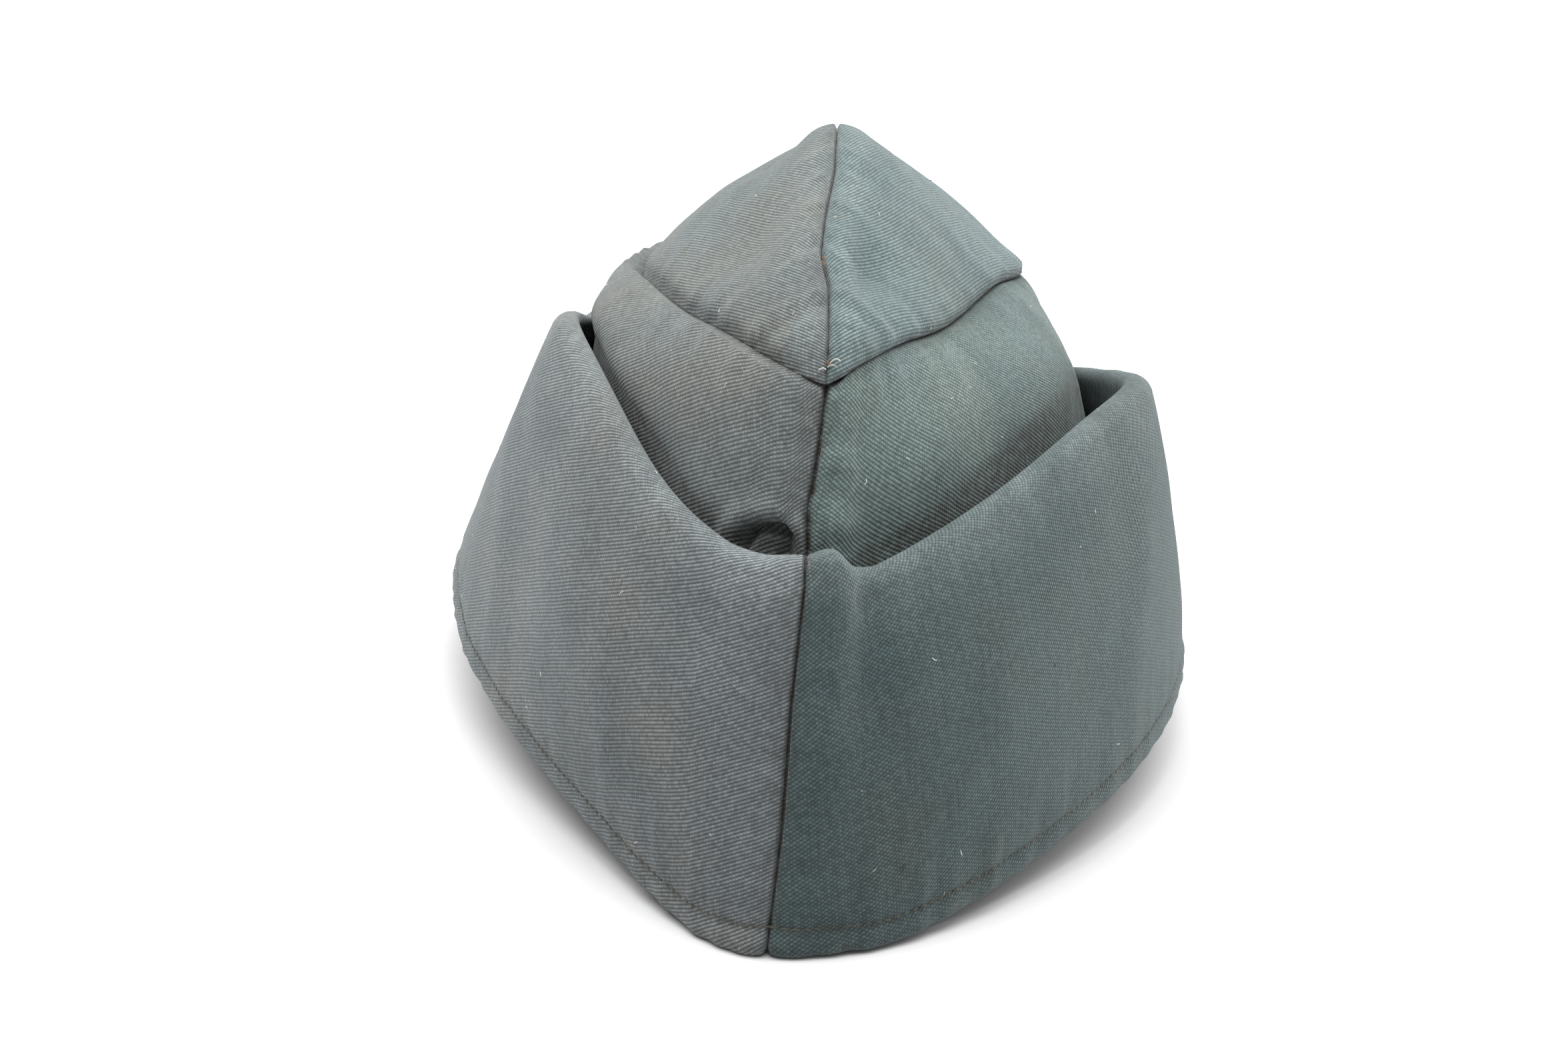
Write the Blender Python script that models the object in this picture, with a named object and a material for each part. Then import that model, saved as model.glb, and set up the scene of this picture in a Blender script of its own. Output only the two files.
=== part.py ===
"""Military side cap of cotton twill, standing open on the two ends of its hem.

The cap is a closed boat-shaped ring of cloth. Two side panels make the upright crown, two roof
panels close its top along a fore-and-aft ridge seam, and a turn-up of soft double cloth in two
halves stands round it, open along its rolled rim. All six panels are built the same way: a grid
of points on the outer face, a second grid one wall further in, and closed borders.

Along a panel, turn runs from 0 at the near end seam to 1 at the far end seam.
Across a panel, level runs from 0 at its lower edge to 1 at its upper edge.
The near end seam is towards -Y, the right side is +X, and the hem rests on Z = 0.
"""

import math

import bmesh
import bpy
import numpy as np
from mathutils import Vector

# Driving sizes, metres
HEM_HALF_LENGTH = 0.121
HEM_HALF_WIDTH = 0.071
HEM_LIFT = 0.012
TURNUP_HEIGHT = 0.056
RIM_HALF_LENGTH = 0.1115
RIM_HALF_WIDTH = 0.051
ROOF_HALF_LENGTH = 0.0965
ROOF_HALF_WIDTH = 0.033
ROOF_SEAM_HEIGHT = 0.077
RIDGE_RISE = 0.024

# Cloth, seams and clearances, metres
CROWN_WALL = 0.0020
TURNUP_WALL = 0.0030
RIM_ROLL_RADIUS = 0.0023
SEAM_GAP = 0.0003
LAYER_GAP = 0.0004
RIM_GAP = 0.0060
END_GAP = 0.0016
END_SEAM_X = -0.0035
END_SEAM_TILT = 0.024
END_SEAM_LEVEL = 0.045
SEAM_TUCK = 0.0007
TURNUP_BELLY = 0.0042
CROWN_BELLY = 0.0035
ROOF_CAMBER = 0.0032
LEFT_FOLD_PROUD = 0.0022
RIGHT_LAP_PROUD = 0.0005
CROWN_LEAN_X = -0.0050
RIDGE_LEAN_X = -0.0027
HIDDEN_SLACK = 0.0012
SEAM_SPREAD = 0.0004

# Form of the outlines, as shares
HEM_PINCH = 0.42
RIM_PINCH = 0.14
ROOF_PINCH = {"left": 0.38, "right": 0.60}
PINCH_BLEND = 0.15
REST_SHARE = 0.30
WAIST_LEVEL = 0.60

# Grid sizes
TURNS = {"turnup": 40, "crown": 36}
ROOF_SKIP = 2
ROOF_TIP_SLOPE = 4.0
LEVELS = {"turnup": 9, "side": 10, "roof": 7}
ROLL_ANGLES = (25.0, 52.0, 76.0)

SIDES = {"left": -1.0, "right": 1.0}

# Turn-up. Columns: turn, height of the rim over the hem as a share of TURNUP_HEIGHT,
# belly as a share of TURNUP_BELLY, gap from rim to crown as a share of RIM_GAP,
# width of the hem and of the rim as shares of their outlines' own.
RIM_ROWS = {
    "left": (
        (0.00, 1.000, 0.30, 0.15, 1.00, 1.00),
        (0.05, 0.985, 0.40, 0.20, 0.88, 0.99),
        (0.12, 0.995, 0.60, 0.25, 0.86, 1.00),
        (0.20, 1.010, 0.90, 0.32, 0.92, 1.00),
        (0.30, 1.080, 0.90, 0.60, 0.99, 1.03),
        (0.38, 1.070, 0.70, 0.60, 1.00, 1.05),
        (0.48, 0.910, 0.60, 0.25, 0.97, 0.94),
        (0.62, 0.870, 0.80, 0.60, 1.00, 0.92),
        (0.80, 0.950, 0.80, 0.80, 1.00, 0.98),
        (1.00, 1.000, 0.30, 0.15, 1.00, 1.00),
    ),
    "right": (
        (0.00, 1.000, 0.30, 0.15, 1.00, 1.00),
        (0.03, 1.015, 0.50, 0.15, 1.14, 0.97),
        (0.07, 0.960, 0.40, 0.20, 1.16, 0.88),
        (0.12, 0.960, 0.60, 0.30, 1.13, 0.85),
        (0.22, 0.980, 0.90, 0.50, 1.06, 0.92),
        (0.32, 1.000, 0.80, 0.70, 1.01, 0.98),
        (0.40, 0.985, 0.50, 1.10, 0.94, 1.01),
        (0.48, 0.780, 0.30, 0.15, 0.86, 0.83),
        (0.62, 0.760, 0.50, 0.20, 0.86, 0.84),
        (0.80, 0.910, 0.80, 0.80, 1.00, 0.98),
        (1.00, 1.000, 0.30, 0.15, 1.00, 1.00),
    ),
}

# Seam between side and roof. Columns: turn, height as a share of ROOF_SEAM_HEIGHT,
# belly of the side panel under it as a share of CROWN_BELLY,
# rise of the ridge above it as a share of RIDGE_RISE.
CROWN_ROWS = {
    "left": (
        (0.00, 1.000, 0.10, 0.00),
        (0.10, 1.020, 0.40, 0.25),
        (0.20, 1.025, 0.70, 0.51),
        (0.29, 1.000, 1.00, 0.83),
        (0.40, 0.965, 1.00, 1.08),
        (0.50, 0.905, 0.80, 0.98),
        (0.60, 0.880, 0.80, 0.80),
        (0.72, 0.885, 1.00, 0.54),
        (0.85, 0.910, 0.60, 0.25),
        (1.00, 0.925, 0.10, 0.00),
    ),
    "right": (
        (0.00, 1.000, 0.10, 0.00),
        (0.10, 1.025, 0.30, 0.25),
        (0.20, 1.030, 0.60, 0.51),
        (0.29, 1.005, 0.80, 0.83),
        (0.40, 1.015, 0.60, 1.08),
        (0.50, 0.955, 0.45, 0.98),
        (0.60, 0.900, 0.60, 0.80),
        (0.72, 0.905, 0.80, 0.54),
        (0.85, 0.910, 0.50, 0.25),
        (1.00, 0.925, 0.10, 0.00),
    ),
}

# Soft folds and dents. Columns: turn, level, reach along as a share of the turn,
# reach across as a share of the level, depth inwards as a share of CROWN_WALL.
FOLD_ROWS = {
    "side_left": (
        (0.045, 0.62, 0.030, 0.08, 1.60),
        (0.240, 0.60, 0.050, 0.30, 0.70),
    ),
    "side_right": (
        (0.120, 0.66, 0.040, 0.10, 0.60),
        (0.300, 0.55, 0.050, 0.30, 0.60),
    ),
    "roof_left": (
        (0.300, 0.45, 0.060, 0.30, 1.10),
        (0.420, 0.75, 0.050, 0.20, 0.90),
    ),
    "roof_right": (
        (0.230, 0.60, 0.050, 0.22, 0.80),
        (0.400, 0.35, 0.060, 0.25, 0.50),
    ),
    "turnup_left": (
        (0.170, 0.30, 0.030, 0.25, 0.30),
        (0.330, 0.40, 0.050, 0.30, 0.60),
    ),
    "turnup_right": (
        (0.070, 0.80, 0.025, 0.20, 0.60),
        (0.260, 0.35, 0.050, 0.30, 0.40),
    ),
}

CLOTH_COLOURS = {
    "turnup_left": (0.130, 0.148, 0.150),
    "turnup_right": (0.098, 0.132, 0.130),
    "side_left": (0.135, 0.150, 0.150),
    "side_right": (0.105, 0.138, 0.136),
    "roof_left": (0.150, 0.168, 0.166),
    "roof_right": (0.125, 0.158, 0.158),
}
CLOTH_ROUGHNESS = 0.92


def clear_scene():
    """Take away whatever the file opened with."""
    for thing in list(bpy.data.objects):
        bpy.data.objects.remove(thing, do_unlink=True)


def unit(vector):
    """The vector at length one."""
    return vector / np.linalg.norm(vector)


def read_row(rows, column, turn):
    """A smooth value of one column of a table at a turn between its rows."""
    turns = [row[0] for row in rows]
    values = [row[column] for row in rows]
    last = len(rows) - 1
    slopes = []
    for index in range(len(rows)):
        before = max(index - 1, 0)
        after = min(index + 1, last)
        slopes.append((values[after] - values[before]) / (turns[after] - turns[before]))
    low = max(min(int(np.searchsorted(turns, turn)) - 1, last - 1), 0)
    span = turns[low + 1] - turns[low]
    share = (turn - turns[low]) / span
    square = share * share
    cube = square * share
    start = (2 * cube - 3 * square + 1) * values[low]
    start += (cube - 2 * square + share) * span * slopes[low]
    end = (3 * square - 2 * cube) * values[low + 1]
    end += (cube - square) * span * slopes[low + 1]
    return start + end


def end_seam_x(height):
    """Where the leaning plane of the end seams stands at a height."""
    return END_SEAM_X + END_SEAM_TILT * (height - END_SEAM_LEVEL)


def outline(side, turn, height, half_length, half_width, pinch, width_column=None):
    """A point of a boat-shaped outline and its outward direction, both at height zero."""
    def place(turn):
        """Point of the outline at a turn from the end seam."""
        angle = math.pi * turn
        lean = math.sqrt(math.cos(angle) ** 2 + PINCH_BLEND ** 2) - PINCH_BLEND
        across = half_width * math.sin(angle) * (1.0 - pinch * lean)
        if width_column is not None:
            across *= read_row(RIM_ROWS[side], width_column, min(max(turn, 0.0), 1.0))
        along = -half_length * math.cos(angle)
        slant = end_seam_x(height) * abs(math.cos(angle)) ** 3
        return np.array((SIDES[side] * across + slant, along, 0.0))

    step = 0.001
    tangent = unit(place(turn + step) - place(turn - step))
    outward = np.array((tangent[1], -tangent[0], 0.0)) * SIDES[side]
    if turn <= 0.0:
        outward = np.array((0.0, -1.0, 0.0))
    if turn >= 1.0:
        outward = np.array((0.0, 1.0, 0.0))
    return place(turn), outward


def hem_height(turn):
    """Height of the hem: flat on the ground near both ends, lifted in the middle."""
    rise = (math.sin(math.pi * turn) ** 2 - REST_SHARE ** 2) / (1.0 - REST_SHARE ** 2)
    return HEM_LIFT * max(rise, 0.0)


def hem_point(side, turn):
    """Outer lower edge of the turn-up."""
    place, outward = outline(side, turn, 0.0, HEM_HALF_LENGTH, HEM_HALF_WIDTH, HEM_PINCH, 4)
    place[2] = hem_height(turn)
    return place, outward


def rim_point(side, turn):
    """Middle of the rolled rim of the turn-up."""
    place, outward = outline(
        side, turn, TURNUP_HEIGHT, RIM_HALF_LENGTH, RIM_HALF_WIDTH, RIM_PINCH, 5
    )
    place = place - outward * RIM_ROLL_RADIUS
    place[2] = hem_height(turn) + TURNUP_HEIGHT * read_row(RIM_ROWS[side], 1, turn) - RIM_ROLL_RADIUS
    return place, outward


def waist_point(side, turn):
    """Outer face of the crown level with the rim, one gap inside the roll."""
    place, outward = rim_point(side, turn)
    gap = END_GAP + RIM_GAP * read_row(RIM_ROWS[side], 3, turn)
    return place - outward * (RIM_ROLL_RADIUS + gap)


def roof_seam_point(side, turn):
    """Outer line of the seam between a side panel and its roof panel."""
    place, _ = outline(
        side, turn, ROOF_SEAM_HEIGHT, ROOF_HALF_LENGTH, ROOF_HALF_WIDTH, ROOF_PINCH[side]
    )
    place[0] += CROWN_LEAN_X * math.sin(math.pi * turn) ** 2
    place[2] = ROOF_SEAM_HEIGHT * read_row(CROWN_ROWS[side], 1, turn)
    return place


def ridge_point(turn):
    """Outer line of the ridge seam."""
    left = roof_seam_point("left", turn)
    right = roof_seam_point("right", turn)
    rise = RIDGE_RISE * read_row(CROWN_ROWS["right"], 3, turn)
    across = end_seam_x(ROOF_SEAM_HEIGHT) + RIDGE_LEAN_X * math.sin(math.pi * turn) ** 2
    return np.array((across, (left[1] + right[1]) / 2.0, (left[2] + right[2]) / 2.0 + rise))


def fold_depth(name, turn, level):
    """How far the folds and dents of a panel press its face inwards."""
    depth = 0.0
    for row in FOLD_ROWS[name]:
        along = (turn - row[0]) / row[2]
        across = (level - row[1]) / row[3]
        depth += CROWN_WALL * row[4] * math.exp(-(along ** 2 + across ** 2))
    return depth * min(30.0 * turn * (1.0 - turn), 1.0)


def side_grid(side):
    """Outer face of a side panel, from its foot inside the hem to the roof seam."""
    name = "side_" + side
    grid = []
    for turn in panel_turns("crown"):
        hem, outward = hem_point(side, turn)
        foot = hem - outward * (TURNUP_WALL + LAYER_GAP)
        waist = waist_point(side, turn)
        seam = roof_seam_point(side, turn)
        belly = CROWN_BELLY * read_row(CROWN_ROWS[side], 2, turn)
        row = []
        for level in np.linspace(0.0, 1.0, LEVELS["side"] + 1):
            press = fold_depth(name, turn, level) * math.sin(math.pi * level)
            row.append(side_place(foot, waist, seam, outward, belly, level) - outward * press)
        grid.append(row)
    return np.array(grid)


def side_place(foot, waist, seam, outward, belly, level):
    """Straight from the foot to the waist, then rounded in to the roof seam."""
    if level <= WAIST_LEVEL:
        share = level / WAIST_LEVEL
        return foot + (waist - foot) * share - outward * HIDDEN_SLACK * 4.0 * share * (1.0 - share)
    share = (level - WAIST_LEVEL) / (1.0 - WAIST_LEVEL)
    return waist + (seam - waist) * share + outward * belly * 4.0 * share * (1.0 - share)


def roof_grid(side):
    """Outer face of a roof panel, from the roof seam up to the ridge seam."""
    name = "roof_" + side
    grid = []
    for turn in panel_turns("crown")[ROOF_SKIP:-ROOF_SKIP]:
        seam = roof_seam_point(side, turn)
        ridge = ridge_point(turn)
        across = unit(ridge - seam)
        upward = np.array((-across[2], 0.0, across[0])) * -SIDES[side]
        upward = unit(np.array((abs(upward[0]) * SIDES[side], 0.0, abs(upward[2]))))
        camber = ROOF_CAMBER * math.sin(math.pi * turn)
        row = []
        for level in np.linspace(0.0, 1.0, LEVELS["roof"] + 1):
            lift = camber * 4.0 * level * (1.0 - level)
            lift -= fold_depth(name, turn, level) * math.sin(math.pi * level)
            row.append(seam + (ridge - seam) * level + upward * lift)
        grid.append(row)
    return np.array(grid)


def panel_turns(kind):
    """Turns of the sections of a panel, closer together near the two end seams."""
    steps = np.linspace(0.0, 1.0, TURNS[kind] + 1)
    return steps - 0.55 * np.sin(2.0 * math.pi * steps) / (2.0 * math.pi)


def face_normals(grid, flip):
    """Outward directions of a grid's points."""
    along = np.gradient(grid, axis=0)
    across = np.gradient(grid, axis=1)
    normals = np.cross(along, across) * flip
    return normals / np.linalg.norm(normals, axis=2, keepdims=True)


def mitre(edge, first, second, towards, wall):
    """Inward steps along a seam shared by two walls, and the direction across it to the first."""
    inward = -(first + second)
    inward /= np.linalg.norm(inward, axis=1, keepdims=True)
    slant = -np.einsum("ij,ij->i", inward, first)
    tangent = np.gradient(edge, axis=0)
    parting = np.cross(tangent, inward)
    parting /= np.linalg.norm(parting, axis=1, keepdims=True)
    parting *= np.sign(np.einsum("ij,ij->i", parting, towards))[:, None]
    return inward * (wall / slant)[:, None], parting


def solid_from_grids(name, outer, inner):
    """A closed body between an outer and an inner grid of the same size."""
    count_along, count_across = outer.shape[:2]
    shape = bmesh.new()
    layers = []
    for grid in (outer, inner):
        layers.append([[shape.verts.new(point) for point in row] for row in grid])
    for layer in layers:
        for i in range(count_along - 1):
            for j in range(count_across - 1):
                shape.faces.new((layer[i][j], layer[i + 1][j], layer[i + 1][j + 1], layer[i][j + 1]))
    front, back = layers
    for i in range(count_along - 1):
        for j in (0, count_across - 1):
            shape.faces.new((front[i][j], front[i + 1][j], back[i + 1][j], back[i][j]))
    for j in range(count_across - 1):
        for i in (0, count_along - 1):
            shape.faces.new((front[i][j], front[i][j + 1], back[i][j + 1], back[i][j]))
    bmesh.ops.recalc_face_normals(shape, faces=shape.faces)
    mesh = bpy.data.meshes.new(name)
    shape.to_mesh(mesh)
    shape.free()
    mesh.shade_smooth()
    mesh.set_sharp_from_angle(angle=math.radians(50.0))
    piece = bpy.data.objects.new(name, mesh)
    bpy.context.scene.collection.objects.link(piece)
    mesh.materials.append(cloth_material(name))
    return piece


def cloth_material(name):
    """Plain twill finish in the panel's own colour."""
    material = bpy.data.materials.new(name + "_twill")
    material.use_nodes = True
    shader = material.node_tree.nodes["Principled BSDF"]
    shader.inputs["Base Color"].default_value = CLOTH_COLOURS[name] + (1.0,)
    shader.inputs["Roughness"].default_value = CLOTH_ROUGHNESS
    shader.inputs["Metallic"].default_value = 0.0
    return material


def part_at_end_seams(outer, inner, side):
    """Set both ends of a panel square to the end seams, half a gap off their plane."""
    for index, inward in ((0, 1.0), (-1, -1.0)):
        for grid in (outer, inner):
            plane = end_seam_x(grid[index, :, 2])
            grid[index, :, 0] = plane + SIDES[side] * SEAM_GAP / 2.0
        outer[index, :, 1] += inward * SEAM_TUCK


def build_turnup(side):
    """One half of the turn-up: hem, bellied double cloth and rolled rim."""
    name = "turnup_" + side
    outer = []
    inner = []
    for turn in panel_turns("turnup"):
        hem, outward = hem_point(side, turn)
        foot = hem - outward * TURNUP_WALL / 2.0
        rim, _ = rim_point(side, turn)
        upward = unit(rim - foot)
        belly = TURNUP_BELLY * read_row(RIM_ROWS[side], 2, turn)
        face = []
        back = []
        for level in np.linspace(0.0, 1.0, LEVELS["turnup"] + 1):
            push = belly * 4.0 * level * (1.0 - level)
            push -= fold_depth(name, turn, level) * min(level * 6.0, 1.0)
            middle = foot + (rim - foot) * level + outward * push
            half = TURNUP_WALL / 2.0 + (RIM_ROLL_RADIUS - TURNUP_WALL / 2.0) * level
            face.append(middle + outward * half)
            back.append(middle - outward * half)
        top = (face[-1] + back[-1]) / 2.0
        for degrees in ROLL_ANGLES:
            angle = math.radians(degrees)
            spread = outward * RIM_ROLL_RADIUS * math.cos(angle)
            rise = upward * RIM_ROLL_RADIUS * math.sin(angle)
            face.append(top + rise + spread)
            back.append(top + rise - spread)
        outer.append(face)
        inner.append(back)
    outer = np.array(outer)
    inner = np.array(inner)
    part_at_end_seams(outer, inner, side)
    return solid_from_grids(name, outer, inner)


def build_crown(side, roofs):
    """A side panel and its roof panel, mitred along the seam that they share."""
    hand = SIDES[side]
    walls = side_grid(side)
    roof = roofs[side]
    other = roofs["right" if side == "left" else "left"]
    wall_normals = face_normals(walls, hand)
    roof_normals = face_normals(roof, hand)
    other_normals = face_normals(other, -hand)

    side_turns = panel_turns("crown")
    roof_edge = np.pad(roof_normals[:, 0], ((ROOF_SKIP, ROOF_SKIP), (0, 0)), mode="edge")
    downward = walls[:, -2] - walls[:, -1]
    seam_steps, seam_parting = mitre(walls[:, -1], wall_normals[:, -1], roof_edge, downward, CROWN_WALL)

    inward = -wall_normals * CROWN_WALL
    inward[:, -1] = seam_steps
    inward[:, 0] = flat_steps(wall_normals[:, 0])
    inward[0, :] = np.array((0.0, CROWN_WALL, 0.0))
    inward[-1, :] = np.array((0.0, -CROWN_WALL, 0.0))
    inner = walls + inward
    for grid in (walls, inner):
        keep_own_half(grid, side)
    proud = LEFT_FOLD_PROUD if side == "left" else 0.0
    swell = np.sin(math.pi * np.clip((side_turns - 0.06) / 0.88, 0.0, 1.0))[:, None] ** 0.5
    edge_out = -unit_rows(seam_steps) * proud * swell
    walls[:, -1] += seam_parting * SEAM_GAP / 2.0 + edge_out
    walls[:, -2] += edge_out * 0.8
    walls[:, -3] += edge_out * 0.35
    inner[:, -1] += seam_parting * SEAM_GAP / 2.0
    part_at_end_seams(walls, inner, side)
    solid_from_grids("side_" + side, walls, inner)

    roof_parting = seam_parting[ROOF_SKIP:-ROOF_SKIP]
    roof_steps = seam_steps[ROOF_SKIP:-ROOF_SKIP]
    outwards = roof[:, -2] - roof[:, -1]
    ridge_steps, ridge_parting = mitre(
        roof[:, -1], roof_normals[:, -1], other_normals[:, -1], outwards, CROWN_WALL
    )
    inward = -roof_normals * CROWN_WALL
    inward[:, 0] = roof_steps
    inward[:, -1] = ridge_steps
    widths = np.linalg.norm(roof[:, -1] - roof[:, 0], axis=1)
    thin = np.minimum(1.0, widths / (ROOF_TIP_SLOPE * CROWN_WALL))
    inner = roof + inward * thin[:, None, None]
    lap = RIGHT_LAP_PROUD if side == "right" else 0.0
    roof = roof.copy()
    roof[:, 0] += -roof_parting * SEAM_GAP / 2.0 - unit_rows(roof_steps) * lap
    inner[:, 0] += -roof_parting * SEAM_GAP / 2.0
    for grid in (roof, inner):
        grid[:, -1] += ridge_parting * SEAM_GAP / 2.0
    roof[:, -1] += unit_rows(ridge_steps) * SEAM_TUCK
    solid_from_grids("roof_" + side, roof, inner)


def keep_own_half(grid, side):
    """Hold each section on its own side of the end seams' plane, further off than the last one."""
    sections = np.arange(len(grid))
    least = SEAM_GAP / 2.0 + SEAM_SPREAD * np.minimum(sections, sections[::-1])
    plane = end_seam_x(grid[..., 2])
    depth = SIDES[side] * (grid[..., 0] - plane)
    grid[..., 0] = plane + SIDES[side] * np.maximum(depth, least[:, None])


def flat_steps(normals):
    """Inward steps that stay level, so that a foot keeps a flat underside."""
    level = normals.copy()
    level[:, 2] = 0.0
    return -level / np.linalg.norm(level, axis=1, keepdims=True) * CROWN_WALL


def unit_rows(rows):
    """Each row of an array at length one."""
    return rows / np.linalg.norm(rows, axis=1, keepdims=True)


def centre_on_base():
    """Put the origin at the middle of the whole cap's base."""
    meshes = [piece.data for piece in bpy.data.objects if piece.type == "MESH"]
    points = np.array([vert.co for mesh in meshes for vert in mesh.vertices])
    low = points.min(axis=0)
    high = points.max(axis=0)
    shift = Vector(((low[0] + high[0]) / 2.0, (low[1] + high[1]) / 2.0, low[2]))
    for mesh in meshes:
        for vert in mesh.vertices:
            vert.co -= shift


def main():
    """Build the six panels."""
    clear_scene()
    roofs = {side: roof_grid(side) for side in SIDES}
    for side in SIDES:
        build_turnup(side)
        build_crown(side, roofs)
    centre_on_base()


main()
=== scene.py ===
"""Side cap of grey-green cotton twill: fine cloth surfaces, stitching, lint and a plain studio."""

import math

import bpy
import numpy as np
from bpy.props import FloatProperty, FloatVectorProperty, IntProperty, PointerProperty
from mathutils import Matrix, Vector, noise


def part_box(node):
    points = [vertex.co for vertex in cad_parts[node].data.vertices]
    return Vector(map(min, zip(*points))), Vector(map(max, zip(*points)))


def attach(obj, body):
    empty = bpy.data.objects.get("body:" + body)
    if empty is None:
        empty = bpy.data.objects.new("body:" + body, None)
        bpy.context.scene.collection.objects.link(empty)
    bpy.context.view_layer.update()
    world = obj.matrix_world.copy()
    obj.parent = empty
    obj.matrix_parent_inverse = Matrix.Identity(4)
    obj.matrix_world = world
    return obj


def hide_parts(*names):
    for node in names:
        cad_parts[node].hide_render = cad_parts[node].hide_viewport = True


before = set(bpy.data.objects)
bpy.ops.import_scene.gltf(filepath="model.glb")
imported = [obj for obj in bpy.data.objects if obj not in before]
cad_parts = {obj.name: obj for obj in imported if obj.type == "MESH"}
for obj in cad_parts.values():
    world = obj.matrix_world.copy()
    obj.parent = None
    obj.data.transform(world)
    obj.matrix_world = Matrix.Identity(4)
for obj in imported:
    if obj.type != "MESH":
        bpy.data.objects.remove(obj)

bl_info = {
    "name": "Twill side cap",
    "version": (1, 0, 0),
    "blender": (4, 5, 0),
    "location": "View3D > Sidebar > Cap",
    "description": "Makes a stitched cotton twill side cap and the studio that it stands in",
    "category": "Object",
}

BODY = "root"

# Outlines of the cap, metres, as the frame's solids have them
HEM_HALF_LENGTH = 0.121
HEM_HALF_WIDTH = 0.071
HEM_LIFT = 0.012
TURNUP_HEIGHT = 0.056
RIM_HALF_LENGTH = 0.1115
RIM_HALF_WIDTH = 0.051
ROOF_HALF_LENGTH = 0.0965
ROOF_HALF_WIDTH = 0.033
ROOF_SEAM_HEIGHT = 0.077
RIDGE_RISE = 0.024

# Cloth and seams, metres
CROWN_WALL = 0.0020
TURNUP_WALL = 0.0030
RIM_ROLL_RADIUS = 0.0023
LAYER_GAP = 0.0004
RIM_GAP = 0.0060
END_GAP = 0.0016
END_SEAM_X = -0.0035
END_SEAM_TILT = 0.024
END_SEAM_LEVEL = 0.045
SEAM_SLIT = 0.00003
TURNUP_BELLY = 0.0042
CROWN_BELLY = 0.0035
ROOF_CAMBER = 0.0032
LEFT_FOLD_PROUD = 0.0022
RIGHT_LAP_PROUD = 0.0005
CROWN_LEAN_X = -0.0050
RIDGE_LEAN_X = -0.0027
HIDDEN_SLACK = 0.0012
FOOT_LIFT = 0.0004

# Profile of the seams and what lies beside them, metres
GROOVE_WIDTH = 0.00030
VALLEY_DEPTH = 0.00035
VALLEY_WIDTH = 0.0017
SWELL_HEIGHT = 0.00028
SWELL_PLACE = 0.0040
SWELL_WIDTH = 0.0022
DUST_LINE_WIDTH = 0.00038
DUST_STAIN_WIDTH = 0.0022
GATHER_START = 0.0012
GATHER_FADE = 0.0060
MITRE_REACH = 0.0012

# Hem line, left fold and right lap, metres
HEM_GROOVE_DEPTH = 0.00045
HEM_GROOVE_WIDTH = 0.0008
HEM_BULGE_HEIGHT = 0.00020
HEM_BULGE_PLACE = 0.0024
HEM_BULGE_WIDTH = 0.0015
LEFT_FOLD_PLACE = 0.0014
RIGHT_LAP_PLACE = 0.0012
RIM_SHADE_DROP = 0.0004
# Depth of the tuck over which its painted shade builds up
TUCK_DARK_DEPTH = 0.0034

# Patches of tone and drift of the yarns in the cloth, metres
STAIN_SIZE = 0.045
WARM_PATCH_SIZE = 0.021
MOTTLE_SIZE = 0.011
GRAIN_SIZE = 0.0016
DRIFT_SIZE = 0.012
YARN_DRIFT = 0.0011

# Form of the outlines, as shares
HEM_PINCH = 0.42
RIM_PINCH = 0.14
ROOF_PINCH = {"left": 0.38, "right": 0.60}
PINCH_BLEND = 0.15
REST_SHARE = 0.30
WAIST_LEVEL = 0.60

# Sections and levels of the fine surfaces
TURNS = {"turnup": 280, "crown": 260}
LEVELS = {"turnup": 52, "side": 84, "roof": 54}
HIDDEN_LEVELS = 10
TIP_SKIP = 3
END_CROWDING = 0.82
RIM_ROLL_ANGLES = (14.0, 29.0, 44.0, 59.0, 74.0)
HEM_ROLL_ANGLES = (72.0, 44.0, 18.0)

SIDES = {"left": -1.0, "right": 1.0}

# Turn-up. Columns: turn, height of the rim over the hem as a share of TURNUP_HEIGHT,
# belly as a share of TURNUP_BELLY, gap from rim to crown as a share of RIM_GAP,
# width of the hem and of the rim as shares of their outlines' own.
RIM_ROWS = {
    "left": (
        (0.00, 1.000, 0.30, 0.15, 1.00, 1.00),
        (0.05, 0.985, 0.40, 0.20, 0.88, 0.99),
        (0.12, 0.995, 0.60, 0.10, 0.86, 1.00),
        (0.20, 1.010, 0.90, 0.00, 0.92, 1.00),
        (0.30, 1.075, 0.90, 0.00, 0.99, 1.03),
        (0.38, 1.080, 0.70, 0.35, 1.00, 1.05),
        (0.48, 0.910, 0.60, 0.25, 0.97, 0.94),
        (0.62, 0.870, 0.80, 0.60, 1.00, 0.92),
        (0.80, 0.950, 0.80, 0.80, 1.00, 0.98),
        (1.00, 1.000, 0.30, 0.15, 1.00, 1.00),
    ),
    "right": (
        (0.00, 1.000, 0.30, 0.15, 1.00, 1.00),
        (0.035, 1.012, 0.50, 0.15, 1.14, 0.96),
        (0.07, 0.960, 0.40, 0.20, 1.16, 0.88),
        (0.12, 0.960, 0.60, 0.30, 1.13, 0.85),
        (0.22, 0.980, 0.90, 0.50, 1.06, 0.92),
        (0.32, 0.990, 0.80, 0.60, 1.01, 0.99),
        (0.40, 0.965, 0.50, 1.00, 0.94, 1.04),
        (0.44, 0.910, 0.40, 0.55, 0.90, 0.95),
        (0.48, 0.845, 0.30, 0.10, 0.86, 0.85),
        (0.55, 0.750, 0.40, 0.05, 0.86, 0.80),
        (0.66, 0.700, 0.50, 0.10, 0.88, 0.83),
        (0.80, 0.880, 0.80, 0.60, 1.00, 0.98),
        (1.00, 1.000, 0.30, 0.15, 1.00, 1.00),
    ),
}

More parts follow.
